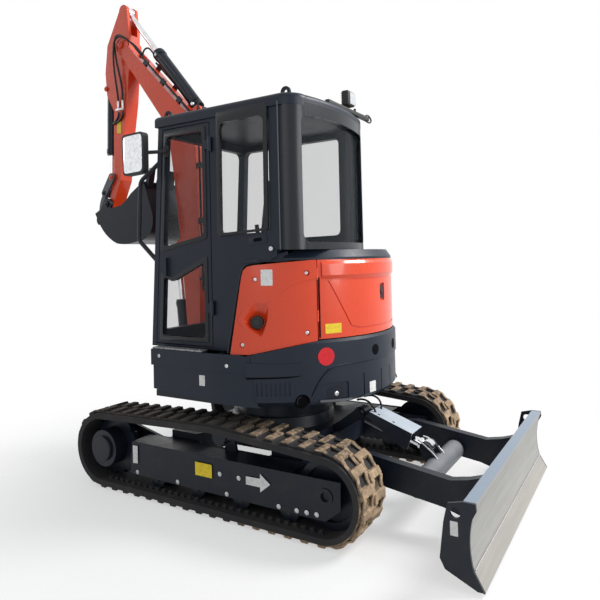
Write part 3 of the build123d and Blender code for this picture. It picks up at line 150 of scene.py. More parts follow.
class Finish:
    """One material: its Principled shader, and the nodes that feed it."""

    def __init__(self, name):
        self.material = bpy.data.materials.new(name)
        self.material.use_nodes = True
        self.tree = self.material.node_tree
        self.shader = self.tree.nodes["Principled BSDF"]
        self.place = self.node("ShaderNodeTexCoord", output="Object")
        self.facing = self.node("ShaderNodeTexCoord", output="Normal")

    def feed(self, socket, value):
        if isinstance(value, Wire):
            self.tree.links.new(value.socket, socket)
        elif socket.type == "RGBA":
            socket.default_value = (*value, 1.0)
        else:
            socket.default_value = value

    def node(self, kind, settings=None, values=(), output=0):
        """Adds a node with its settings and the values or links of its inputs, and gives one output."""
        made = self.tree.nodes.new(kind)
        for key, value in (settings or {}).items():
            setattr(made, key, value)
        pairs = values.items() if isinstance(values, dict) else enumerate(values)
        for key, value in pairs:
            self.feed(made.inputs[key], value)
        return Wire(self, made.outputs[output])

    def axis(self, letter, vector=None):
        return self.node("ShaderNodeSeparateXYZ", values=[vector or self.place], output=letter)

    def noise(self, scale, detail=3.0, rough=0.5, vector=None):
        values = {"Vector": vector or self.place, "Scale": scale, "Detail": detail, "Roughness": rough}
        return self.node("ShaderNodeTexNoise", values=values, output="Fac")

    def stretched(self, scale):
        """Object coordinates with each axis multiplied by its own factor."""
        return self.node("ShaderNodeMapping", values={"Vector": self.place, "Scale": scale})

    def blend(self, factor, first, second):
        """Colour first where factor is 0, second where it is 1."""
        return self.node("ShaderNodeMix", {"data_type": "RGBA"}, {0: factor, 6: first, 7: second}, output=2)

    def distance(self, first, second):
        """How far a point lies from where both coordinates are zero."""
        return self.node("ShaderNodeMath", {"operation": "SQRT"}, [first * first + second * second])

    def waves(self, direction, scale):
        """Even bands across one axis."""
        values = {"Vector": self.place, "Scale": scale}
        return self.node("ShaderNodeTexWave", {"bands_direction": direction}, values)

    def bump(self, height, strength, distance):
        values = {"Strength": strength, "Distance": distance, "Height": height}
        self.set(Normal=self.node("ShaderNodeBump", values=values))

    def set(self, **values):
        for key, value in values.items():
            self.feed(self.shader.inputs[key.replace("_", " ")], value)


def shade(colour, share):
    """The colour with less light in it."""
    return tuple(share * part for part in colour)


def dusty(finish, colour, amount):
    """Lays dust over a colour, thickest near the ground and in patches."""
    height = finish.axis("Z").below(0.0, 0.7)
    patches = finish.noise(9.0, 6.0, 0.65).above(0.42, 0.72)
    return finish.blend(height * patches * amount, colour, bpy.context.scene.excavator_looks.dust)


def paint(name, colour, rough, dust_amount, grain=420.0, grain_strength=0.12, coat=0.0):
    """Sprayed machine paint: faint orange peel, cloudy sheen, dust low down."""
    finish = Finish(name)
    clouds = finish.noise(3.0, 4.0, 0.6)
    base = finish.blend(clouds.above(0.35, 0.7), shade(colour, 0.94), colour)
    base = dusty(finish, base, dust_amount)
    smudge = finish.noise(14.0, 5.0, 0.7).above(0.3, 0.8)
    finish.set(Base_Color=base, Roughness=rough + smudge * 0.12)
    finish.bump(finish.noise(grain, 2.0), grain_strength, 0.0006)
    finish.set(Specular_IOR_Level=LOW_GLOSS)
    if coat:
        finish.set(Coat_Weight=coat, Coat_Roughness=0.08)
    return finish.material


def rubber_track():
    """Track rubber: black sides, lugs caked with dry earth towards the idler end and on their faces."""
    finish = Finish("track_rubber")
    looks = bpy.context.scene.excavator_looks
    wheel_x = (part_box("track_left")[0].x + TRACK_END_R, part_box("track_left")[1].x - TRACK_END_R)
    x, z = finish.axis("X"), finish.axis("Z")
    along = finish.node("ShaderNodeClamp", values={"Value": x, "Min": wheel_x[0], "Max": wheel_x[1]})
    across, up = x - along, z - TRACK_END_R
    reach = finish.distance(across, up)
    hump = (1 - abs(x - CARRIER_X) / CARRIER_SPAN).math("MAXIMUM", 0.0) * CARRIER_RISE * z.above(0.3, 0.34)
    outward = reach - hump
    on_lug = outward.above(TRACK_END_R - 0.018, TRACK_END_R - 0.008)
    on_face = outward.above(TRACK_END_R - 0.026, TRACK_END_R - 0.023)
    patches = finish.noise(16.0, 6.0, 0.7).above(0.34, 0.6)
    blotches = finish.noise(34.0, 3.0, 0.6).above(0.42, 0.6)
    towards_idler = x.below(-0.42, -0.12)
    worn = on_lug * (0.45 + 0.55 * patches) * (0.06 + 0.94 * towards_idler)
    caked = worn.math("MAXIMUM", on_face * (0.25 + 0.45 * blotches) * towards_idler)
    film = finish.noise(5.0, 5.0, 0.6).above(0.4, 0.75) * 0.05
    rubber = finish.blend(film, looks.rubber, looks.dust)
    tint = finish.noise(28.0, 4.0, 0.7).above(0.3, 0.7)
    earth = finish.blend(tint, looks.earth, shade(looks.earth, 0.72))
    base = finish.blend(caked, rubber, earth)
    finish.set(Base_Color=base, Roughness=0.72 + caked * 0.2)
    finish.set(Specular_IOR_Level=LOW_GLOSS)
    finish.bump(finish.noise(140.0, 5.0, 0.7) + finish.noise(24.0, 3.0), 0.35, 0.003)
    return finish.material


def blade_steel():
    """Blade: worn steel face with a welded cutting edge, a painted blue-grey sky reflection on its top, dark
    sides and back.
    """
    finish = Finish("blade_steel")
    looks = bpy.context.scene.excavator_looks
    height = finish.axis("Z")
    inside = abs(finish.axis("Y")).below(0.864, 0.867)
    face = finish.axis("X", finish.facing).below(-0.5, -0.25) * inside
    # Faces that look up get a painted blue-grey sky reflection in place of the dark paint
    sky_reflection_top = finish.axis("Z", finish.facing).above(0.75, 0.85) * height.above(0.37, 0.38) * inside
    streaks = finish.noise(1.0, 5.0, 0.7, finish.stretched((30.0, 2.0, 60.0)))
    bright = finish.blend(streaks.above(0.3, 0.75), (0.29, 0.285, 0.27), (0.37, 0.365, 0.345))
    edge = finish.blend(streaks.above(0.3, 0.75), (0.36, 0.34, 0.31), (0.30, 0.29, 0.27))
    bright = finish.blend(height.below(0.120, 0.124), bright, edge)
    scuffed = finish.noise(7.0, 8.0, 0.75).above(0.55, 0.72) * height.below(0.05, 0.3)
    bright = finish.blend(scuffed * 0.35, bright, looks.dust)
    dark = dusty(finish, looks.black, 0.04)
    # Dark paint, with the painted sky reflection laid on the top
    painted = finish.blend(sky_reflection_top, dark, (0.24, 0.30, 0.37))
    finish.set(Base_Color=finish.blend(face, painted, bright), Roughness=0.36 + face * 0.16)
    finish.set(Metallic=face * 0.3, Specular_IOR_Level=0.3)
    finish.bump(streaks, 0.08, 0.001)
    return finish.material


def arm_steel():
    """Push arms: dark frame paint, with the tube that crosses them in grey."""
    finish = Finish("arm_steel")
    looks = bpy.context.scene.excavator_looks
    off_x, off_z = finish.axis("X") + 1.143, finish.axis("Z") - 0.228
    reach = finish.distance(off_x, off_z)
    tube = reach.below(0.063, 0.066) * abs(finish.axis("Y")).below(0.325, 0.330)
    clouds = finish.noise(6.0, 4.0, 0.6)
    dark = dusty(finish, looks.black, 0.05)
    grey = finish.blend(clouds.above(0.3, 0.7), (0.17, 0.18, 0.195), (0.21, 0.22, 0.235))
    finish.set(Base_Color=finish.blend(tube, dark, grey), Roughness=0.34 + clouds * 0.1)
    finish.set(Specular_IOR_Level=LOW_GLOSS)
    finish.bump(finish.noise(420.0, 2.0), 0.06, 0.0006)
    return finish.material


def cover_steel():
    """Cylinder guard: a painted pale blue-grey sky reflection on top, dark paint down its sides."""
    finish = Finish("cover_steel")
    looks = bpy.context.scene.excavator_looks
    # Faces that look up get a painted pale blue-grey sky reflection; the sides keep the dark paint
    sky_reflection_top = finish.axis("Z", finish.facing).above(0.45, 0.6)
    clouds = finish.noise(5.0, 4.0, 0.6)
    pale = finish.blend(clouds.above(0.3, 0.7), (0.38, 0.43, 0.49), (0.46, 0.51, 0.57))
    finish.set(Base_Color=finish.blend(sky_reflection_top, looks.black, pale), Roughness=0.34 + clouds * 0.1)
    return finish.material


def chrome():
    """Cylinder rod: hard chrome with a thin film of oil."""
    finish = Finish("rod_chrome")
    film = finish.noise(20.0, 4.0).above(0.4, 0.8)
    finish.set(Base_Color=finish.blend(film, (0.78, 0.79, 0.81), (0.62, 0.63, 0.65)), Metallic=1.0)
    finish.set(Roughness=0.14 + film * 0.1)
    return finish.material


def tinted_glass():
    """Pane: dark tinted glass that shows what is behind it."""
    finish = Finish("tinted_glass")
    tint = finish.noise(1.5, 2.0)
    finish.set(Base_Color=finish.blend(tint, (0.030, 0.042, 0.045), (0.040, 0.052, 0.055)), Roughness=0.03)
    finish.set(Transmission_Weight=0.0, Alpha=0.12, IOR=1.45)
    return finish.material


def grained(name, colour, rough):
    """Moulded plastic or cast iron with a fine grain."""
    finish = Finish(name)
    grain = finish.noise(220.0, 4.0, 0.6)
    base = finish.blend(grain.above(0.35, 0.65), shade(colour, 0.75), colour)
    finish.set(Base_Color=base, Roughness=rough + grain * 0.1, Specular_IOR_Level=0.3)
    finish.bump(grain, 0.25, 0.0008)
    return finish.material


def plain_trim(name, colour, rough, metal=0.0, gloss=0.4):
    """Small smooth trim: a touch of mottling and wear."""
    finish = Finish(name)
    mottle = finish.noise(60.0, 3.0)
    base = finish.blend(mottle.above(0.4, 0.7), colour, shade(colour, 0.82))
    finish.set(Base_Color=base, Roughness=rough + mottle * 0.08, Metallic=metal, Specular_IOR_Level=gloss)
    return finish.material


def seat_cloth():
    """Seat fabric: a fine two-way weave in two greys."""
    finish = Finish("seat_cloth")
    warp = finish.waves("Y", 260.0)
    weft = finish.waves("Z", 260.0)
    weave = warp * 0.5 + weft * 0.5
    finish.set(Base_Color=finish.blend(weave, (0.045, 0.047, 0.052), (0.13, 0.135, 0.145)), Roughness=0.85)
    finish.bump(weave, 0.4, 0.0006)
    return finish.material


def amber_lens():
    """Beacon lens: amber plastic with vertical flutes."""
    finish = Finish("amber_lens")
    flutes = finish.waves("Y", 60.0)
    finish.set(Base_Color=finish.blend(flutes, (0.75, 0.17, 0.01), (0.95, 0.32, 0.03)), Roughness=0.12)
    finish.bump(flutes, 0.3, 0.001)
    return finish.material


def grit_tread():
    """Step tread: pale aluminium with rows of raised grip."""
    finish = Finish("grit_tread")
    grip = finish.node("ShaderNodeTexVoronoi", values={"Vector": finish.place, "Scale": 70.0})
    finish.set(Base_Color=finish.blend(grip.above(0.2, 0.6), (0.42, 0.43, 0.44), (0.2, 0.2, 0.21)))
    finish.set(Roughness=0.45, Metallic=0.6)
    finish.bump(grip, 0.6, 0.002)
    return finish.material


def alone(piece):
    """Selects one piece and nothing else."""
    if bpy.context.object and bpy.context.object.mode != "OBJECT":
        bpy.ops.object.mode_set(mode="OBJECT")
    bpy.ops.object.select_all(action="DESELECT")
    piece.select_set(True)
    bpy.context.view_layer.objects.active = piece


def settled(piece):
    """Works a piece's place, turn and size into its mesh."""
    alone(piece)
    bpy.ops.object.transform_apply(location=True, rotation=True, scale=True)
    return piece


def select_faces(piece, keep):
    """In edit mode, selects the faces that the test keeps."""
    alone(piece)
    bpy.ops.object.mode_set(mode="EDIT")
    bpy.ops.mesh.select_mode(type="FACE")
    bpy.ops.mesh.select_all(action="DESELECT")
    mesh = bmesh.from_edit_mesh(piece.data)
    for face in mesh.faces:
        face.select = bool(keep(face))
    mesh.select_flush_mode()
    bmesh.update_edit_mesh(piece.data)


def leave_edit():
    bpy.ops.object.mode_set(mode="OBJECT")


def modify(piece, kind, **settings):
    """Adds a modifier and applies it."""
    alone(piece)
    made = piece.modifiers.new(kind.title(), kind)
    for key, value in settings.items():
        setattr(made, key, value)
    bpy.ops.object.modifier_apply(modifier=made.name)


# The CAD slot that stands for each finish of the trim
SLOTS = {
    "bright_steel": "rod_chrome",
    "grey_steel_and_highlight": "black_paint",
    "grit_tread": "slate_paint",
    "label_white": "slate_paint",
    "label_yellow": "slate_paint",
    "lamp_glass": "tinted_glass",
    "marker_red": "red_paint",
    **dict.fromkeys(("hose_rubber", "border_glass", "seam_and_shadow_black", "mirror_face"), "black_plastic"),
}


def dressed(piece, name, finish):
    """Names a piece and its mesh, and gives it one finish."""
    piece.name = name
    piece.data.name = name
    piece.data.materials.clear()
    piece.data.materials.append(materials[finish])


def finished(pieces, name, body, finish):
    """Joins the pieces, applies the place, shades, paints, and makes the whole ride with its body."""
    piece = settled(joined(pieces) if isinstance(pieces, list) else pieces)
    bpy.ops.object.shade_smooth_by_angle(angle=math.radians(35.0))
    dressed(piece, name, finish)
    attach(piece, body)


def joined(pieces):
    """Joins pieces into the first of them."""
    alone(pieces[0])
    for piece in pieces:
        piece.select_set(True)
    bpy.context.view_layer.objects.active = pieces[0]
    if len(pieces) > 1:
        bpy.ops.object.join()
    return pieces[0]


def turned_to(normal):
    """Rotation that turns +Z to a direction."""
    return Vector(normal).to_track_quat("Z", "Y").to_matrix().to_4x4()


def closed(piece):
    """Turns the faces of a closed piece outwards."""
    alone(piece)
    bpy.ops.object.mode_set(mode="EDIT")
    bpy.ops.mesh.select_all(action="SELECT")
    bpy.ops.mesh.normals_make_consistent(inside=False)
    leave_edit()
    return piece


def from_faces(built, name):
    """Piece made of faces that were drawn one by one, turned outwards."""
    bmesh.ops.recalc_face_normals(built, faces=built.faces)
    mesh = bpy.data.meshes.new(name)
    built.to_mesh(mesh)
    built.free()
    piece = bpy.data.objects.new(name, mesh)
    bpy.context.scene.collection.objects.link(piece)
    return piece


def copies(piece, spots):
    """Copies a piece, made at the origin facing +Z, to each (place, normal), and joins the copies."""
    made = []
    for place, normal in spots:
        copy = piece.copy()
        copy.data = piece.data.copy()
        copy.matrix_world = Matrix.Translation(place) @ turned_to(normal)
        bpy.context.scene.collection.objects.link(copy)
        made.append(copy)
    bpy.data.objects.remove(piece)
    return settled(joined(made))


def hex_bolt(radius, height):
    """Bolt head with a washer and a socket in its top, at the origin, facing +Z."""
    bpy.ops.mesh.primitive_cylinder_add(vertices=6, radius=radius, depth=height, location=(0, 0, height / 2))
    head = bpy.context.object
    select_faces(head, lambda face: face.normal.z > 0.9)
    bpy.ops.mesh.inset(thickness=radius * 0.2, depth=radius * 0.12)
    bpy.ops.mesh.inset(thickness=radius * 0.25, depth=0)
    bpy.ops.mesh.inset(thickness=radius * 0.02, depth=-height * 0.4)
    leave_edit()
    bpy.ops.mesh.primitive_cylinder_add(vertices=20, radius=radius * 1.45, depth=height * 0.3,
                                        location=(0, 0, height * 0.15))
    washer = bpy.context.object
    modify(washer, "BEVEL", width=height * 0.08, segments=2)
    return joined([head, washer])


def round_disc(radius, height, edge, sides=48, location=(0, 0, 0), normal=(0, 0, 1)):
    """Disc with a rounded rim, its foot at the location."""
    bpy.ops.mesh.primitive_cylinder_add(
        vertices=sides, radius=radius, depth=height, location=(0, 0, height / 2))
    disc = bpy.context.object
    modify(disc, "BEVEL", width=edge, segments=3, limit_method="ANGLE")
    disc.matrix_world = Matrix.Translation(location) @ turned_to(normal) @ disc.matrix_world
    return settled(disc)


def side_plate(outline, y, depth, edge=0.0):
    """Plate with an (x, z) outline, its outer face at y and its depth towards the machine's middle."""
    middle = y - math.copysign(depth / 2, y)
    return centred_plate([(x, middle, z) for x, z in outline], depth, edge)


def centred_plate(points, depth, edge=0.0):
    """Closed plate whose outline lies in its middle plane."""
    bpy.ops.mesh.primitive_circle_add(vertices=len(points), radius=1.0, fill_type="NGON")
    shape = bpy.context.object
    for vertex, point in zip(shape.data.vertices, points):
        vertex.co = point
    shape.data.update()
    modify(shape, "SOLIDIFY", thickness=depth, offset=0.0)
    closed(shape)
    if edge:
        modify(shape, "BEVEL", width=edge, segments=2, limit_method="ANGLE", angle_limit=math.radians(40))
    return shape


def line_tube(points, radius, sides=10):
    """Hose or pipe: a smooth path through space given a round section, as a mesh with closed ends."""
    bpy.ops.object.select_all(action="DESELECT")
    bpy.ops.curve.primitive_nurbs_path_add()
    path = bpy.context.object
    curve = path.data
    curve.splines.clear()
    spline = curve.splines.new("NURBS")
    spline.points.add(len(points) - 1)
    for spot, point in zip(spline.points, points):
        spot.co = (*point, 1.0)
    spline.order_u = 3
    spline.use_endpoint_u = True
    spline.resolution_u = 6
    curve.dimensions = "3D"
    curve.bevel_depth = radius
    curve.bevel_resolution = max(1, sides // 4)
    curve.use_fill_caps = True
    alone(path)
    bpy.ops.object.convert(target="MESH")
    return bpy.context.object


def paired_tubes(run, radius, sides=10):
    """The same tube on both sides of the machine's middle."""
    return joined([line_tube([(x, side * y, z) for x, y, z in run], radius, sides) for side in (1, -1)])


def rounded_rect(width, height, radius):
    """Corner-rounded rectangle about the origin, as (across, up) points."""
    steps = 5
    points = []
    for corner, (sx, sy) in enumerate(((1, 1), (-1, 1), (-1, -1), (1, -1))):
        for step in range(steps + 1):
            turn = math.radians(90 * corner + 90 * step / steps)
            points.append((sx * (width / 2 - radius) + radius * math.cos(turn),
                           sy * (height / 2 - radius) + radius * math.sin(turn)))
    return points


class ExcavatorLooks(PropertyGroup):
    """Colours and small sizes that the whole dressing shares."""

    dust: FloatVectorProperty(
        name="Dust", description="Colour of the dust on paint near the ground",
        subtype="COLOR", default=(0.36, 0.27, 0.19))
    earth: FloatVectorProperty(
        name="Dry earth", description="Colour of the dry earth on the tracks",
        subtype="COLOR", default=(0.50, 0.355, 0.225))
    rubber: FloatVectorProperty(
        name="Rubber", description="Colour of the tracks",
        subtype="COLOR", default=(0.018, 0.018, 0.020))
    black: FloatVectorProperty(
        name="Frame black", description="Paint of the undercarriage, arms and frames",
        subtype="COLOR", default=(0.006, 0.010, 0.018))
    slate: FloatVectorProperty(
        name="Slate", description="Paint of the cab, skirts and counterweight",
        subtype="COLOR", default=(0.010, 0.016, 0.028))
    red: FloatVectorProperty(
        name="Body red", description="Paint of the boom, arm and tail panels",
        subtype="COLOR", default=(0.74, 0.060, 0.014))
    hose: FloatProperty(
        name="Hose radius", description="Radius of the rubber hoses",
        unit="LENGTH", default=0.0085)
    pipe: FloatProperty(
        name="Pipe radius", description="Radius of the steel pipes",
        unit="LENGTH", default=0.009)
    bolt: FloatProperty(
        name="Bolt radius", description="Radius of a plain bolt head",
        unit="LENGTH", default=0.012)
    seat_swell: FloatProperty(
        name="Seat pressure", description="Air pressure that swells the seat's cloth",
        default=3.0)
    cloth_steps: IntProperty(
        name="Cloth steps", description="Steps that the seat's cloth runs for",
        default=20)


materials = {}

# Colour, roughness, metal and gloss of the plain trim
PLAIN_TRIM = {
    "bright_steel": ((0.55, 0.56, 0.57), 0.3, 0.9),
    "hose_rubber": ((0.010, 0.010, 0.011), 0.42, 0.0, LOW_GLOSS),
    "border_glass": ((0.012, 0.014, 0.018), 0.22, 0.0, 0.3),
    # Black of the seams, also used for the painted shadows and shade on the tail and in the pocket's slot
    "seam_and_shadow_black": ((0.003, 0.003, 0.004), 0.7, 0.0, 0.05),
    "label_yellow": ((0.85, 0.62, 0.02), 0.4),
    "label_white": ((0.78, 0.78, 0.76), 0.4),
    "marker_red": ((0.70, 0.01, 0.02), 0.3),
    "lamp_glass": ((0.62, 0.64, 0.66), 0.12, 0.4),
    "mirror_face": ((0.80, 0.82, 0.84), 0.04, 1.0),
}


def repaint(finish, *names):
    """Gives CAD nodes one finish."""
    for name in names:
        painted = nodes[name].data.materials
        painted.clear()
        painted.append(materials[finish])


class EXCAVATOR_OT_finishes(Operator):
    """Makes the finishes and paints the CAD nodes with them."""

    bl_idname = "excavator.finishes"
    bl_label = "Paint the machine"

    def execute(self, context):
        looks = context.scene.excavator_looks
        made = {
            "track_rubber": rubber_track(),
            "black_paint": paint("black_paint", looks.black, 0.30, 0.03, grain_strength=0.06),
            "slate_paint": paint("slate_paint", looks.slate, 0.36, 0.03),
            "red_paint": paint("red_paint", looks.red, 0.24, 0.0, 260.0, 0.05, coat=0.5),
            "rod_chrome": chrome(),
            "tinted_glass": tinted_glass(),
            "engine_iron": grained("engine_iron", (0.055, 0.056, 0.058), 0.55),
            "black_plastic": grained("black_plastic", (0.022, 0.022, 0.024), 0.5),
            "seat_fabric": seat_cloth(),
            "amber_plastic": amber_lens(),
            "blade_steel": blade_steel(),
            "grit_tread": grit_tread(),
            # Grey steel of the bucket and idler links, also used as lighter grey that paints a highlight on
            # the tie-down lips and the rear window's seal strip
            "grey_steel_and_highlight": paint("grey_steel_and_highlight", (0.115, 0.122, 0.135), 0.4, 0.3),
            "arm_steel": arm_steel(),
            "cover_steel": cover_steel(),
        }
        for name, (colour, *wear) in PLAIN_TRIM.items():
            made[name] = plain_trim(name, colour, *wear)
        materials.update(made)
        for part in frame["record"]["subparts"]:
            repaint(part["material_slot"], part["node"])
        repaint("blade_steel", "blade")
        repaint("grey_steel_and_highlight", "bucket_link", "idler_links")
        repaint("arm_steel", "push_arms")
        repaint("cover_steel", "cylinder_cover")
        return {"FINISHED"}


def hang_lamp(name, spot, aim, size, power):
    """Round soft lamp that looks from a spot at an aim."""
    bpy.ops.object.light_add(type="AREA", location=spot)
    lamp = bpy.context.object
    lamp.name = name
    lamp.data.shape = "DISK"
    lamp.data.size = size
    lamp.data.energy = power
    lamp.rotation_euler = (Vector(spot) - Vector(aim)).to_track_quat("Z", "Y").to_euler()


def light_world(scene):
    """World that lights softly and shows white to the camera, in gloss and through glass."""
    world = bpy.data.worlds.new("studio")
    scene.world = world
    world.use_nodes = True
    tree = world.node_tree
    tree.nodes.clear()
    paths = tree.nodes.new("ShaderNodeLightPath")
    soft = tree.nodes.new("ShaderNodeBackground")
    white = tree.nodes.new("ShaderNodeBackground")
    mix = tree.nodes.new("ShaderNodeMixShader")
    out = tree.nodes.new("ShaderNodeOutputWorld")
    soft.inputs["Color"].default_value = (0.92, 0.96, 1.0, 1.0)
    soft.inputs["Strength"].default_value = 0.42
    white.inputs["Color"].default_value = (1.0, 1.0, 1.0, 1.0)
    white.inputs["Strength"].default_value = 1.0
    seen = paths.outputs["Is Camera Ray"]
    for kind in ("Is Glossy Ray", "Is Transmission Ray"):
        either = tree.nodes.new("ShaderNodeMath")
        either.operation = "MAXIMUM"
        tree.links.new(seen, either.inputs[0])
        tree.links.new(paths.outputs[kind], either.inputs[1])
        seen = either.outputs["Value"]
    tree.links.new(seen, mix.inputs["Fac"])
    tree.links.new(soft.outputs["Background"], mix.inputs[1])
    tree.links.new(white.outputs["Background"], mix.inputs[2])
    tree.links.new(mix.outputs["Shader"], out.inputs["Surface"])


# The camera that was fitted to the photograph: place in metres, yaw, pitch and roll in degrees
CAMERA_PLACE = (-2.3193, 3.4919, 1.5279)
CAMERA_TURN = (-58.5312, 1.5660, -1.3749)


def place_camera(scene):
    """Camera at the photograph's place, turn and framing."""
    bpy.ops.object.camera_add()
    camera = bpy.context.object
    camera.name = "camera"
    yaw, pitch, roll = (math.radians(angle) for angle in CAMERA_TURN)
    flat = math.cos(pitch)
    ahead = Vector((flat * math.cos(yaw), flat * math.sin(yaw), math.sin(pitch)))
    level = Vector((math.sin(yaw), -math.cos(yaw), 0.0))
    above = level.cross(ahead)
    across = level * math.cos(roll) + above * math.sin(roll)
    over = -level * math.sin(roll) + above * math.cos(roll)
    turned = Matrix((across, over, -ahead)).transposed().to_4x4()
    camera.matrix_world = Matrix.Translation(CAMERA_PLACE) @ turned
    camera.data.sensor_width = 36.0
    camera.data.lens = 34.41
    camera.data.shift_x = -0.002
    camera.data.shift_y = -0.0953
    scene.camera = camera


class EXCAVATOR_OT_stage(Operator):
    """Lays the floor, hangs the lights and sets the camera where the photograph was taken."""

    bl_idname = "excavator.stage"
    bl_label = "Set the stage"

    def execute(self, context):
        bpy.ops.mesh.primitive_circle_add(vertices=96, radius=60.0, fill_type="NGON")
        floor = context.object
        floor.name = "floor"
        pale = Finish("floor_pale")
        speckle = pale.noise(40.0, 4.0)
        pale.set(Base_Color=pale.blend(speckle, (0.80, 0.80, 0.80), (0.84, 0.84, 0.84)), Roughness=0.9)
        away = pale.distance(pale.axis("X"), pale.axis("Y"))
        pale.set(Alpha=away.below(1.2, 3.2) * 0.5)
        floor.data.materials.append(pale.material)

        hang_lamp("key", (-6.0, -4.0, 7.0), (0.0, 0.0, 1.2), 3.5, 780.0)
        hang_lamp("fill", (-2.0, 7.5, 3.5), (0.0, 0.0, 1.2), 5.0, 60.0)
        hang_lamp("rear", (-7.5, 0.5, 3.0), (0.0, 0.0, 1.3), 4.0, 220.0)
        hang_lamp("front", (7.5, 2.0, 5.0), (0.5, 0.0, 1.4), 4.0, 80.0)
        light_world(context.scene)
        context.scene.view_settings.view_transform = "Standard"
        place_camera(context.scene)
        return {"FINISHED"}


def tail_spot(turn, z, radius):
    """Point of the round tail, with the direction that faces out of it."""
    a = math.radians(turn)
    out = Vector((math.cos(a), math.sin(a), 0.0))
    return out * radius + Vector((0, 0, z)), out


def tail_sticker(turn, z, radius, across, up, corner=0.004):
    """Thin sheet bent round the tail, about a place given by its turn and height."""
    points = []
    for along, height in rounded_rect(across, up, corner):
        points.append(tail_spot(turn - math.degrees(along / radius), z + height, radius)[0])
    return centred_plate(points, 0.0016)


def tail_band(start, end, radius, heights, steps=16, depth=0.004):
    """Band bent round the tail between two turns, with its low and high edges given along it."""
    bpy.ops.mesh.primitive_grid_add(x_subdivisions=steps, y_subdivisions=1, size=1.0)
    band = bpy.context.object
    for vertex in band.data.vertices:
        share = vertex.co.x + 0.5
        for (a, low_a, high_a), (b, low_b, high_b) in zip(heights, heights[1:]):
            if a <= share + 1e-6 and share - 1e-6 <= b:
                t = (share - a) / (b - a)
                low, high = low_a + (low_b - low_a) * t, high_a + (high_b - high_a) * t
        vertex.co = tail_spot(start + (end - start) * share, high if vertex.co.y > 0 else low, radius)[0]
    modify(band, "SOLIDIFY", thickness=depth, offset=0.0)
    return closed(band)


def ring_plate(outline, width, y, depth):
    """Flat frame along a closed (x, z) outline, its outer face at y."""
    count = len(outline)
    area = sum(outline[i - 1][0] * outline[i][1] - outline[i][0] * outline[i - 1][1] for i in range(count))
    turn = 1.0 if area > 0 else -1.0
    inner = []
    for i in range(count):
        before, here, after = (Vector(outline[j % count]) for j in (i - 1, i, i + 1))
        first, second = (here - before).normalized(), (after - here).normalized()
        inward = (Vector((-first.y, first.x)) + Vector((-second.y, second.x))).normalized() * turn
        half = max(0.35, abs(inward.dot(Vector((-first.y, first.x)))))
        inner.append(here + inward * width / half)
    middle = y - math.copysign(depth / 2, y)
    built = bmesh.new()
    outside = [built.verts.new((x, middle, z)) for x, z in outline]
    inside = [built.verts.new((x, middle, z)) for x, z in inner]
    for i in range(count):
        built.faces.new((outside[i - 1], outside[i], inside[i], inside[i - 1]))
    ring = from_faces(built, "ring")
    modify(ring, "SOLIDIFY", thickness=depth, offset=0.0)
    return closed(ring)


def rounded(outline, radius):
    """An (x, z) outline with its corners rounded."""
    steps = 4
    points = []
    count = len(outline)
    for i in range(count):
        before, here, after = (Vector(outline[j % count]) for j in (i - 1, i, i + 1))
        to_before, to_after = (before - here).normalized(), (after - here).normalized()
        reach = min(radius, (before - here).length * 0.45, (after - here).length * 0.45)
        start, end = here + to_before * reach, here + to_after * reach
        for step in range(steps + 1):
            t = step / steps
            points.append(tuple(start * (1 - t) ** 2 + here * 2 * t * (1 - t) + end * t ** 2))
    return points


def upright(back, front, low, high):
    """The (x, z) corners of an upright rectangle."""
    return [(back, low), (front, low), (front, high), (back, high)]


def label_at(x, z, across, up, y, depth=LABEL):
    """Blank label round a place on the machine's side, with its face at y."""
    outline = [(x + along, z + height) for along, height in rounded_rect(across, up, 0.003)]
    return side_plate(outline, y, depth)


def cut_through(plate, outline, corner):
    """Cuts a rounded (x, z) outline through a plate that stands in the side's plane."""
    bpy.context.view_layer.update()
    depth = max(abs((plate.matrix_world @ vertex.co).y) for vertex in plate.data.vertices)
    cutter = side_plate(rounded(outline, corner), depth + 0.05, 0.1)
    modify(plate, "BOOLEAN", operation="DIFFERENCE", solver="EXACT", object=cutter)
    bpy.data.objects.remove(cutter)


def arc_through(first, middle, last, count):
    """Points of the round arc through three (x, y) places."""
    a, b, c = Vector(first), Vector(middle), Vector(last)
    scale = 2 * ((a.x - c.x) * (b.y - c.y) - (a.y - c.y) * (b.x - c.x))
    left, right = a.length_squared - c.length_squared, b.length_squared - c.length_squared
    centre = Vector(((left * (b.y - c.y) - right * (a.y - c.y)) / scale,
                     (right * (a.x - c.x) - left * (b.x - c.x)) / scale))
    start, end = (math.atan2(p.y - centre.y, p.x - centre.x) for p in (a, c))
    halfway = math.atan2(b.y - centre.y, b.x - centre.x)
    turn = (end - start) % (2 * math.pi)
    if (halfway - start) % (2 * math.pi) > turn:
        turn -= 2 * math.pi
    radius = (a - centre).length
    points = []
    for i in range(count + 1):
        a = start + turn * i / count
        points.append(centre + Vector((math.cos(a), math.sin(a))) * radius)
    return points


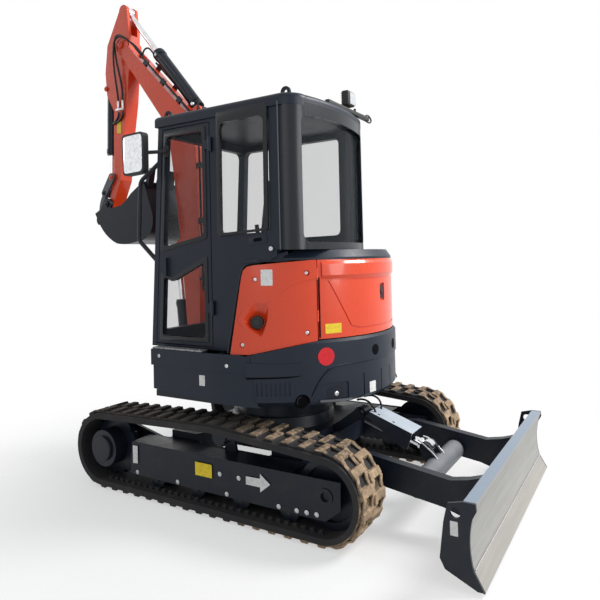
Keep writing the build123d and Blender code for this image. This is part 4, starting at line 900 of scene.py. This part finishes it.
def rear_border():
    """Black printed edge of the rear window: a sheet bent round the cab's rear, open at the pane."""
    path = arc_through((-0.480, 0.720), (-0.556, 0.686), (-0.598, 0.590), 12)[2:]
    path += arc_through((-0.598, 0.590), (-0.640, 0.250), (-0.598, -0.090), 24)[1:]
    path += arc_through((-0.598, -0.090), (-0.556, -0.186), (-0.480, -0.220), 12)[1:-2]
    built = bmesh.new()
    rows = []
    for i, spot in enumerate(path):
        along = (path[min(i + 1, len(path) - 1)] - path[max(i - 1, 0)]).normalized()
        out = Vector((along.y, -along.x))
        if out.x > 0:
            out = -out
        near, far = spot + out * 0.0006, spot + out * (BORDER + 0.0005)
        corners = ((near, 1.581), (far, 1.581), (far, 2.448), (near, 2.448))
        rows.append([built.verts.new((*place, z)) for place, z in corners])
    for before, after in zip(rows, rows[1:]):
        for k in range(4):
            built.faces.new((before[k - 1], before[k], after[k], after[k - 1]))
    built.faces.new(rows[0])
    built.faces.new(rows[-1][::-1])
    sheet = from_faces(built, "rear_border")
    pane = [(-0.66, y + 0.250, z + 2.000) for y, z in rounded_rect(0.800, 0.750, 0.05)]
    opening = centred_plate(pane, 0.30)
    modify(sheet, "BOOLEAN", operation="DIFFERENCE", solver="EXACT", object=opening)
    bpy.data.objects.remove(opening)
    return sheet


class EXCAVATOR_OT_cab_trim(Operator):
    """Window borders, door handle's rim, mirror face, work lamp, lifting eyes and step tread."""

    bl_idname = "excavator.cab_trim"
    bl_label = "Trim the cab"

    def execute(self, context):
        outer = rounded([(-0.405, 1.700), (-0.026, 1.676), (-0.029, 2.452), (-0.413, 2.456)], 0.02)
        plate = side_plate(outer, CAB_Y + BORDER + 0.0005, BORDER, 0.002)
        cut_through(plate, [(-0.378, 1.712), (-0.052, 1.696), (-0.056, 2.380), (-0.384, 2.380)], 0.035)
        finished(plate, "side_window_border", "upper", "border_glass")
        outer = rounded([(0.070, 1.668), (0.472, 1.594), (0.424, 2.384), (0.070, 2.384)], 0.02)
        upper = side_plate(outer, CAB_Y + 0.0045, 0.004, 0.001)
        cut_through(upper, [(0.098, 1.690), (0.446, 1.626), (0.400, 2.354), (0.098, 2.354)], 0.03)
        outer = [(0.070, 1.012), (0.494, 1.012), (0.470, 1.462), (0.372, 1.424), (0.070, 1.560)]
        inner = [(0.098, 1.040), (0.468, 1.040), (0.446, 1.432), (0.368, 1.394), (0.098, 1.520)]
        lower = side_plate(rounded(outer, 0.02), CAB_Y + 0.0045, 0.004, 0.001)
        cut_through(lower, inner, 0.025)
        finished([upper, lower], "door_window_borders", "door", "border_glass")
        finished(rear_border(), "rear_window_border", "upper", "border_glass")
        # Seal strip down the rear window's edge, given lighter grey as its painted highlight
        edge = line_tube([(-0.489, CAB_Y + 0.0135, z) for z in (1.584, 2.0, 2.448)], 0.003, 8)
        finished(edge, "rear_window_strip", "upper", "grey_steel_and_highlight")
        heights = ((0.0, 1.512, 1.521), (0.35, 1.512, 1.530), (0.7, 1.512, 1.552), (1.0, 1.512, 1.574))
        finished(tail_band(106.0, 127.0, 0.7815, heights), "deck_end", "upper", "slate_paint")
        foot = [(-0.452, 1.584), (-0.452, 1.545), (-0.400, 1.522), (-0.330, 1.521)]
        foot += [(-0.320, 1.440), (-0.200, 1.400), (-0.206, 1.432), (-0.218, 1.464)]
        foot += [(-0.250, 1.502), (-0.302, 1.522), (-0.412, 1.538), (-0.440, 1.584)]
        filler = side_plate(foot, CAB_Y - 0.0015, 0.005)
        finished(filler, "cab_lower_edge", "upper", "slate_paint")

        pocket = [(-0.262, 1.612), (-0.384, 1.624), (-0.394, 1.655)]
        pocket += [(-0.378, 1.680), (-0.262, 1.664), (-0.250, 1.640)]
        rim = side_plate(rounded(pocket, 0.008), CAB_Y + 0.003, 0.0028, 0.001)
        finished(rim, "side_pocket_rim", "upper", "slate_paint")
        # Black sheet over the pocket's slot: painted shade in its hollow
        slot = [(-0.292, 1.633), (-0.350, 1.638), (-0.350, 1.658), (-0.292, 1.654)]
        slot = side_plate(rounded(slot, 0.006), CAB_Y + 0.0042, LABEL)
        finished(slot, "side_pocket_slot_shade", "upper", "seam_and_shadow_black")
        knob = round_disc(0.014, 0.014, 0.004, 32, (-0.420, CAB_Y + 0.0005, 1.590), (0, 1, 0))
        finished(knob, "side_rest_knob", "upper", "bright_steel")

        cup = ring_plate(rounded(upright(0.398, 0.452, 1.424, 1.565), 0.02), 0.010, CAB_Y + 0.0015, 0.003)
        finished(cup, "door_handle_rim", "door", "black_plastic")

        eyes = []
        for x, y in ((-0.512, 0.672), (0.430, 0.672), (-0.512, -0.172), (0.430, -0.172)):
            turns = [math.radians(15 * i) for i in range(24)]
            ring = [(x + 0.033 * math.cos(a), 2.510 + 0.033 * math.sin(a)) for a in turns]
            eyes.append(ring_plate(ring, 0.019, y + 0.007, 0.014))
            foot = [(x - 0.050, 2.470), (x + 0.044, 2.470), (x + 0.030, 2.492), (x - 0.026, 2.492)]
            eyes.append(side_plate(foot, y + 0.007, 0.014, 0.002))
        finished(eyes, "roof_lifting_eyes", "upper", "black_paint")

        bar = [side_plate(upright(-0.616, -0.584, 2.502, 2.530), 0.330, 0.600, 0.003)]
        hook = ((-0.20, 2.515), (-0.245, 2.545), (-0.300, 2.548))
        hook += ((-0.345, 2.520), (-0.300, 2.492), (-0.24, 2.502))
        bar.append(line_tube([(-0.600, y, z) for y, z in hook], 0.006, 8))
        bar.append(line_tube([(-0.592, -0.085, 2.520), (-0.592, -0.085, 2.556)], 0.009, 8))
        finished(bar, "lamp_bracket", "upper", "black_plastic")
        shell = [side_plate(rounded(upright(-0.618, -0.566, 2.552, 2.652), 0.012), -0.035, 0.100, 0.006)]
        for i in range(6):
            height = 2.566 + 0.0145 * i
            shell.append(side_plate(upright(-0.570, -0.554, height, height + 0.004), -0.041, 0.088))
        lens = side_plate(rounded(upright(-0.6215, -0.6175, 2.562, 2.642), 0.001), -0.043, 0.084)
        finished(shell, "work_lamp", "upper", "black_plastic")
        finished(lens, "work_lamp_lens", "upper", "lamp_glass")

        glass = rounded([(0.444, 2.112), (0.608, 2.106), (0.614, 2.348), (0.444, 2.354)], 0.026)
        face = side_plate(glass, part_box("mirror")[1].y + 0.0015, 0.003, 0.001)
        finished(face, "mirror_face", "door", "mirror_face")

        tread = side_plate(upright(0.062, 0.480, 0.9665, 0.9765), SKIRT_Y - 0.006, 0.062, 0.002)
        finished(tread, "step_tread", "upper", "grit_tread")
        return {"FINISHED"}


class EXCAVATOR_OT_tail_trim(Operator):
    """Fuel cap, bolts, hood latch, blank labels and the plain red marker on the tail."""

    bl_idname = "excavator.tail_trim"
    bl_label = "Trim the tail"

    def execute(self, context):
        looks = context.scene.excavator_looks
        spot, out = tail_spot(112.7, 1.154, PANEL_R - 0.043)
        parts = [round_disc(0.036, 0.030, 0.005, location=spot, normal=out)]
        for i in range(14):
            a = 2 * math.pi * i / 14
            side = Vector((0, 0, 1)).cross(out).normalized()
            place = spot + side * 0.035 * math.cos(a) + Vector((0, 0, 0.035 * math.sin(a)))
            parts.append(round_disc(0.005, 0.029, 0.001, 10, place, out))
        parts.append(round_disc(0.022, 0.040, 0.004, location=spot, normal=out))
        finished(parts, "fuel_cap", "upper", "black_plastic")

        bolts = ((112.5, 1.410), (134.7, 1.441), (134.4, 1.087), (106.3, 1.023))
        spots = [tail_spot(side * turn, z, PANEL_R - 0.010) for side in (1, -1) for turn, z in bolts]
        finished(copies(hex_bolt(looks.bolt, 0.009), spots), "panel_bolts", "upper", "bright_steel")
        skirts = [(Vector((0.413, side * SKIRT_Y, 0.924)), Vector((0, side, 0))) for side in (1, -1)]
        skirts += [tail_spot(side * 99.3, 0.898, SKIRT_Y) for side in (1, -1)]
        finished(copies(hex_bolt(looks.bolt, 0.007), skirts), "skirt_bolts", "upper", "bright_steel")
        ties = [tail_spot(side * 147.2, 0.712, TAIL_R - 0.0187) for side in (1, -1)]
        finished(copies(hex_bolt(looks.bolt * 1.3, 0.010), ties), "tie_down_bolts", "upper", "bright_steel")

        spot, out = tail_spot(180.0, 1.300, HOOD_R - 0.0115)
        latch = round_disc(0.020, 0.012, 0.003, location=spot, normal=out)
        bar = tail_sticker(180.0, 1.300, HOOD_R - 0.006, 0.046, 0.092, 0.01)
        finished([latch, bar], "hood_latch", "hood", "black_plastic")

        label = tail_sticker(117.6, 1.420, PANEL_R + OFF_FACE, 0.070, 0.095)
        finished(label, "white_label_panel", "upper", "label_white")
        label = tail_sticker(146.6, 1.103, HOOD_R + OFF_FACE, 0.110, 0.058)
        finished(label, "yellow_label_hood", "hood", "label_yellow")
        disc = []
        for i in range(40):
            a = 2 * math.pi * i / 40
            turn = 142.2 + math.degrees(0.053 * math.cos(a) / (TAIL_R + 0.0003))
            disc.append(tail_spot(turn, 0.942 + 0.053 * math.sin(a), TAIL_R + 0.001)[0])
        finished(centred_plate(disc, 0.0018), "red_marker", "upper", "marker_red")
        labels = [tail_sticker(167.7, 0.715, ARCH_R + OFF_FACE, 0.062, 0.066)]
        labels.append(label_at(0.062, 0.795, 0.044, 0.064, SKIRT_Y - 0.0075, 0.0016))
        finished(labels, "white_labels", "upper", "label_white")
        return {"FINISHED"}


class EXCAVATOR_OT_counterweight_trim(Operator):
    """Rim of the arch, ledges with painted shadow strips under them, tie-down lips in lighter grey as a
    painted reflection, black sheets as painted shade in the tie-down wells and holes, and the seams round the
    tail's panels.
    """

    bl_idname = "excavator.counterweight_trim"
    bl_label = "Trim the counterweight"

    def execute(self, context):
        rise = ((135.8, 0.714), (138.3, 0.783), (141.5, 0.838), (144.7, 0.871))
        rise += ((148.2, 0.884), (156.7, 0.885), (169.7, 0.885), (180.0, 0.885))
        rise += tuple((360 - turn, z) for turn, z in rise[-2::-1])
        rim = line_tube([tail_spot(turn, z, TAIL_R - 0.0015)[0] for turn, z in rise], 0.0045, 8)
        finished(rim, "arch_rim", "upper", "slate_paint")

        ledge = ((0.0, 0.836, 0.921), (0.6, 0.838, 0.912), (1.0, 0.842, 0.913))
        under = ((0.0, 0.824, 0.835), (0.8, 0.829, 0.838), (1.0, 0.838, 0.841))
        lip = ((0.0, 0.676, 0.688), (1.0, 0.664, 0.677))
        well = ((0.0, 0.692, 0.745), (1.0, 0.676, 0.770))
        ledges, shadows, lips, wells = [], [], [], []
        for side in (1, -1):
            ledges.append(tail_band(side * 108.0, side * 131.0, TAIL_R + 0.001, ledge, depth=0.006))
            # Black strip under each ledge: painted shadow of the ledge's overhang
            shadows.append(tail_band(side * 108.0, side * 131.0, TAIL_R + 0.0005, under, depth=LABEL))
            # The tie-down lips are given lighter grey as a painted reflection
            lips.append(tail_band(side * 139.0, side * 154.3, TAIL_R + 0.0015, lip, depth=0.006))
            # A black sheet at the back of each tie-down bay: painted shade in the recess
            wells.append(tail_band(side * 140.6, side * 152.6, TAIL_R - 0.0175, well, depth=LABEL))
            # Dark disc over the hole near the tail's back: painted shade in its hollow
            spot, out = tail_spot(side * 169.9, 0.943, TAIL_R - 0.0005)
            shadows.append(round_disc(0.034, 0.002, 0.0006, 40, spot, out))
        # Recessed dark disc: painted shade in the hole
        spot, out = tail_spot(131.0, 0.690, TAIL_R - 0.046)
        shadows.append(round_disc(0.0455, 0.030, 0.002, 40, spot, out))
        seam = ((0.0, 1.052, 1.412), (1.0, 1.052, 1.412))
        hood_seam = tail_band(139.75, 140.50, HOOD_R + 0.001, seam, 2, LABEL)
        finished(ledges, "tail_ledges", "upper", "slate_paint")
        finished(hood_seam, "hood_seam", "hood", "seam_and_shadow_black")
        finished(shadows, "tail_shadows", "upper", "seam_and_shadow_black")
        finished(lips, "tie_down_lips", "upper", "grey_steel_and_highlight")
        finished(wells, "tie_down_well_shade", "upper", "black_paint")

        front = ((-0.139, 0.972), (-0.166, 1.106), (-0.188, 1.231), (-0.211, 1.349))
        front += ((-0.232, 1.458), (-0.250, 1.490), (-0.280, 1.499), (-0.345, 1.506))
        for name, shift, thick, finish in (
            ("panel_seal", 0.002, 0.0045, "seam_and_shadow_black"),
            ("panel_edge_strip", 0.012, 0.0060, "slate_paint"),
        ):
            route = [(x + shift, math.sqrt((PANEL_R - 0.003) ** 2 - x ** 2) - 0.003, z) for x, z in front]
            finished(line_tube(route, thick, 8), name, "upper", finish)
        return {"FINISHED"}


class EXCAVATOR_OT_undercarriage_trim(Operator):
    """Bolts and labels on the track frames, and the blade's label, bead, tubes and hoses."""

    bl_idname = "excavator.undercarriage_trim"
    bl_label = "Trim the undercarriage"

    def execute(self, context):
        looks = context.scene.excavator_looks
        bolts = ((0.639, 0.140), (0.281, 0.140), (-0.113, 0.140), (-0.484, 0.142), (-0.603, 0.144))
        bolts += ((-0.667, 0.146), (-0.730, 0.148), (-0.062, 0.249), (-0.205, 0.250))
        spots = []
        for side in (1, -1):
            spots += [(Vector((x, side * FRAME_Y, z)), Vector((0, side, 0))) for x, z in bolts]
        heads = copies(hex_bolt(looks.bolt * 0.8, 0.008), spots)
        finished(heads, "frame_bolts", "undercarriage", "bright_steel")

        arrow = [(-0.261, 0.272), (-0.362, 0.276), (-0.362, 0.303), (-0.432, 0.254)]
        arrow += [(-0.362, 0.199), (-0.362, 0.227), (-0.261, 0.226)]
        square = [(0.676, 0.312), (0.632, 0.314), (0.632, 0.200), (0.676, 0.196)]
        whites = [side_plate(outline, FRAME_Y + LABEL, LABEL) for outline in (arrow, square)]
        finished(whites, "white_arrow", "undercarriage", "label_white")
        yellow = label_at(0.062, 0.254, 0.132, 0.080, FRAME_Y + LABEL)
        finished(yellow, "yellow_label_frame", "undercarriage", "label_yellow")
        white = label_at(-1.502, 0.278, 0.036, 0.066, BLADE_Y + OFF_FACE)
        finished(white, "white_label_blade", "blade", "label_white")

        run = ((-1.030, 0.046, 0.378), (-1.060, 0.062, 0.372), (-1.130, 0.062, 0.318), (-1.158, 0.062, 0.286))
        finished(paired_tubes(run, 0.0045, 8), "blade_grease_tubes", "blade", "bright_steel")
        bead = line_tube([(-1.5890, y, 0.104) for y in (-0.862, 0.0, 0.862)], 0.003, 8)
        finished(bead, "cutting_edge_bead", "blade", "bright_steel")
        run = ((-0.62, 0.050, 0.585), (-0.66, 0.062, 0.600), (-0.715, 0.066, 0.585))
        run += ((-0.745, 0.060, 0.545), (-0.748, 0.040, 0.505))
        finished(paired_tubes(run, looks.hose * 0.8), "blade_hoses", "blade_cylinder", "hose_rubber")
        return {"FINISHED"}


def lug_tops(track):
    """Centre and outward direction of each lug's top face, read from the track's mesh."""
    mesh = nodes[track].data
    low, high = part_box(track)
    middle_y = (low.y + high.y) / 2
    found = {}
    for face in mesh.polygons:
        if abs(face.area - LUG_AREA) > LUG_AREA_SLACK or abs(face.normal.y) > 0.01:
            continue
        x, y, z = face.center
        away = Vector((x - min(max(x, IDLER_X), DRIVE_X), 0, z - TRACK_END_R))
        if away.dot(face.normal) <= 0:
            continue
        mean_x = sum(mesh.vertices[v].co.x for v in face.vertices) / 3
        key = (round(face.normal.x, 2), round(face.normal.z, 2), round(mean_x, 1), y > middle_y)
        found.setdefault(key, []).append(face)
    tops = []
    for faces in found.values():
        spots = {tuple(round(c, 4) for c in mesh.vertices[v].co) for face in faces for v in face.vertices}
        if len(spots) != 4:
            continue
        centre = sum((Vector(spot) for spot in spots), Vector()) / 4
        tops.append((centre, faces[0].normal.copy()))
    return tops


class EXCAVATOR_OT_tread(Operator):
    """Bars that bridge the lugs along the tracks' faces, and the guide teeth inside the belts."""

    bl_idname = "excavator.tread"
    bl_label = "Add the tread"

    def execute(self, context):
        bar = ((0.012, -0.024), (0.098, -0.024), (0.088, -0.0115), (0.052, -0.0145), (0.016, -0.008))
        half = 0.014
        for side, track in ((1, "track_left"), (-1, "track_right")):
            built = bmesh.new()
            for centre, normal in lug_tops(track):
                along = Vector((normal.z, 0, -normal.x))
                corners = [centre + along * reach + normal * height for reach, height in bar]
                for offset in (-0.050, 0.050):
                    rows = []
                    for y in (offset - half, offset + half):
                        rows.append([built.verts.new(corner + Vector((0, y, 0))) for corner in corners])
                    for k in range(len(bar)):
                        built.faces.new((rows[0][k - 1], rows[0][k], rows[1][k], rows[1][k - 1]))
                    built.faces.new(rows[0][::-1])
                    built.faces.new(rows[1])
            for i in range(31):
                x = -0.76 + 0.055 * i
                for y in (0.808, 0.612):
                    for vertex in bmesh.ops.create_cube(built, size=1.0)["verts"]:
                        dx, dy, dz = vertex.co
                        width = 0.021 if dz > 0 else 0.030
                        vertex.co = (x + dx * width, side * (y + dy * 0.022), 0.067 + dz * 0.022)
            tread = from_faces(built, "tread")
            modify(tread, "BEVEL", width=0.0018, segments=1, limit_method="ANGLE")
            finished(tread, track.replace("track", "tread"), "undercarriage", "track_rubber")
        return {"FINISHED"}


JOINT_HOSES = {
    "joint_hose_near": (
        (1.405, -0.022, 3.318), (1.440, -0.014, 3.358), (1.504, 0.002, 3.446), (1.600, 0.012, 3.523),
        (1.673, 0.012, 3.561), (1.717, 0.010, 3.536), (1.727, 0.006, 3.469), (1.709, 0.000, 3.319),
        (1.680, -0.004, 3.218), (1.658, -0.012, 3.094), (1.658, -0.018, 3.009), (1.659, -0.020, 2.965)),
    "joint_hose_next": (
        (1.390, -0.006, 3.330), (1.459, 0.006, 3.415), (1.506, 0.016, 3.450), (1.577, 0.030, 3.509),
        (1.638, 0.034, 3.530), (1.688, 0.034, 3.512), (1.712, 0.030, 3.453), (1.722, 0.024, 3.334),
        (1.722, 0.014, 3.230), (1.715, 0.000, 3.108), (1.714, -0.014, 3.021), (1.715, -0.020, 2.965)),
}
FEED_HOSES = (
    ((1.395, -0.020, 3.300), (1.400, -0.020, 3.330), (1.385, -0.024, 3.375),
     (1.340, -0.030, 3.385), (1.300, -0.032, 3.345), (1.278, -0.033, 3.315)),
    ((0.800, -0.020, 2.700), (0.775, -0.016, 2.760), (0.770, -0.018, 2.830),
     (0.800, -0.026, 2.870), (0.845, -0.033, 2.840)),
)


class EXCAVATOR_OT_boom_lines(Operator):
    """Hoses over the boom-arm joint, the arm cylinder's tube and hoses, fittings and the arm's label."""

    bl_idname = "excavator.boom_lines"
    bl_label = "Run the boom's hoses"

    def execute(self, context):
        looks = context.scene.excavator_looks
        for name, route in JOINT_HOSES.items():
            hose = line_tube(route, looks.hose, 12)
            alone(hose)
            bpy.ops.object.shade_smooth()
            dressed(hose, name, "hose_rubber")
            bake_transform(hose)

        ends, pipes = [], []
        for x in (1.659, 1.715):
            ends.append(round_disc(0.0135, 0.050, 0.002, 6, (x, -0.021, 2.925), (0, 0, 1)))
            ends.append(round_disc(0.0110, 0.070, 0.002, 20, (x, -0.021, 2.905), (0, 0, 1)))
        ends.append(side_plate(rounded(upright(1.646, 1.728, 2.884, 2.902), 0.004), -0.0165, 0.0185, 0.002))
        finished(ends, "arm_fittings", "arm", "bright_steel")
        for x in (1.659, 1.715):
            drop = [(x, -0.021, 2.875), (x, -0.024, 2.840), (x + 0.06, -0.024, 2.790), (1.79, -0.024, 2.78)]
            pipes.append(line_tube(drop, looks.pipe))
        finished(pipes, "arm_pipes", "arm", "black_paint")
        label = side_plate([(1.750, 2.799), (1.701, 2.792), (1.703, 2.687), (1.753, 2.694)], -0.0338, LABEL)
        finished(label, "yellow_label_arm", "arm", "label_yellow")

        base, eye = Vector((0.810, 0, 2.760)), Vector((1.655, 0, 3.790))
        run = (eye - base).normalized()
        side = Vector((-run.z, 0, run.x))
        spots = [base + run * reach + side * off
                 for reach, off in ((0.075, 0.020), (0.110, 0.034), (0.660, 0.034), (0.715, 0.012))]
        tube = line_tube([(spot.x, BOOM_Y + 0.062, spot.z) for spot in spots], looks.pipe * 0.8)
        finished(tube, "arm_cylinder_pipe", "arm_cylinder", "black_paint")
        ports = []
        for reach in (0.075, 0.715):
            spot = base + run * reach
            ports.append(round_disc(0.016, 0.022, 0.002, 6, (spot.x, BOOM_Y + 0.045, spot.z), (0, 1, 0)))
        finished(ports, "arm_cylinder_ports", "arm_cylinder", "bright_steel")
        feeds = [line_tube(route, looks.hose * 0.9) for route in FEED_HOSES]
        finished(feeds, "cylinder_feed_hoses", "boom", "hose_rubber")
        return {"FINISHED"}


# Pins by node: x, z, the cap's radius, and how far its faces stand off the boom's middle plane
PINS = {
    "boom": ((1.657, 3.466, 0.026, 0.101), (0.810, 2.760, 0.022, 0.065)),
    "arm": ((1.885, 3.119, 0.020, 0.073), (1.815, 2.300, 0.020, 0.091)),
    "bucket": ((1.870, 2.060, 0.024, 0.100), (1.965, 1.925, 0.020, 0.100)),
    "idler_links": ((1.910, 2.165, 0.018, 0.092),),
}


class EXCAVATOR_OT_pins(Operator):
    """Caps with keeper bolts on the pins of the boom, arm and bucket."""

    bl_idname = "excavator.pins"
    bl_label = "Cap the pins"

    def execute(self, context):
        for node, places in PINS.items():
            caps = []
            for x, z, radius, reach in places:
                for side in (1, -1):
                    spot, out = (x, BOOM_Y + side * reach, z), (0, side, 0)
                    caps.append(round_disc(radius, 0.005, 0.0015, 40, spot, out))
                    caps.append(round_disc(radius * 0.55, 0.008, 0.002, 32, spot, out))
                    caps.append(round_disc(0.006, 0.016, 0.0015, 12, spot, out))
            finish = "red_paint" if node in ("boom", "arm") else "black_paint"
            finished(caps, node + "_pin_caps", node, finish)
        return {"FINISHED"}


def swollen(outline, low_y, high_y, pressure, steps):
    """Seat pad: the outline's block, remeshed, blown up a little as cloth, and smoothed."""
    pad = centred_plate([(x, (low_y + high_y) / 2, z) for x, z in outline], high_y - low_y, 0.012)
    modify(pad, "REMESH", mode="VOXEL", voxel_size=0.0065)
    start = [vertex.co.copy() for vertex in pad.data.vertices]
    alone(pad)
    cloth = pad.modifiers.new("Cloth", "CLOTH")
    cloth.settings.use_pressure = True
    cloth.settings.uniform_pressure_force = pressure
    cloth.settings.effector_weights.gravity = 0.0
    cloth.settings.quality = 4
    for step in range(1, steps + 1):
        bpy.context.scene.frame_set(step)
    bpy.ops.object.modifier_apply(modifier=cloth.name)
    bpy.context.scene.frame_set(1)
    for vertex, before in zip(pad.data.vertices, start):
        move = vertex.co - before
        if move.length > MOST_SWELL:
            vertex.co = before + move.normalized() * MOST_SWELL
    modify(pad, "SMOOTH", factor=0.5, iterations=6)
    return pad


class EXCAVATOR_OT_seat(Operator):
    """Seat: cushion, back and headrest as padded cloth, in place of the CAD solid."""

    bl_idname = "excavator.seat"
    bl_label = "Upholster the seat"

    def execute(self, context):
        looks = context.scene.excavator_looks
        cushion = [(-0.095, 1.384), (0.280, 1.384), (0.286, 1.440), (0.262, 1.476), (-0.110, 1.468)]
        back = [(-0.108, 1.474), (-0.150, 1.480), (-0.190, 1.520), (-0.240, 2.040), (-0.190, 2.046)]
        headrest = [(-0.194, 2.104), (-0.208, 2.236), (-0.252, 2.236), (-0.244, 2.104)]
        shapes = (
            ("seat_cushion", cushion, 0.045, 0.455),
            ("seat_back", back, 0.045, 0.455),
            ("seat_headrest", headrest, 0.135, 0.365),
        )
        for name, outline, low_y, high_y in shapes:
            pad = swollen(outline, low_y, high_y, looks.seat_swell, looks.cloth_steps)
            alone(pad)
            bpy.ops.object.shade_smooth()
            dressed(pad, name, "seat_fabric")
            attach(pad, "upper")
        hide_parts("seat")
        posts = []
        for y in (0.330, 0.170):
            posts.append(line_tube([(-0.212, y, 2.030), (-0.216, y, 2.070), (-0.220, y, 2.112)], 0.007))
        finished(posts, "headrest_posts", "upper", "bright_steel")
        return {"FINISHED"}


OPERATORS = (
    EXCAVATOR_OT_finishes,
    EXCAVATOR_OT_cab_trim,
    EXCAVATOR_OT_tail_trim,
    EXCAVATOR_OT_counterweight_trim,
    EXCAVATOR_OT_undercarriage_trim,
    EXCAVATOR_OT_tread,
    EXCAVATOR_OT_boom_lines,
    EXCAVATOR_OT_pins,
    EXCAVATOR_OT_seat,
    EXCAVATOR_OT_stage,
)


class EXCAVATOR_PT_dressing(Panel):
    """Buttons of the dressing, in the order that main runs them."""

    bl_label = "Excavator"
    bl_idname = "EXCAVATOR_PT_dressing"
    bl_space_type = "VIEW_3D"
    bl_region_type = "UI"
    bl_category = "Excavator"

    def draw(self, context):
        looks = context.scene.excavator_looks
        for name in looks.bl_rna.properties.keys():
            if name not in {"rna_type", "name"}:
                self.layout.prop(looks, name)
        for operator in OPERATORS:
            self.layout.operator(operator.bl_idname)


CLASSES = (ExcavatorLooks, *OPERATORS, EXCAVATOR_PT_dressing)


def register():
    for made in CLASSES:
        bpy.utils.register_class(made)
    bpy.types.Scene.excavator_looks = PointerProperty(type=ExcavatorLooks)


def unregister():
    del bpy.types.Scene.excavator_looks
    for made in reversed(CLASSES):
        bpy.utils.unregister_class(made)


def main():
    register()
    for operator in OPERATORS:
        group, name = operator.bl_idname.split(".")
        getattr(getattr(bpy.ops, group), name)()


if __name__ == "__main__":
    main()
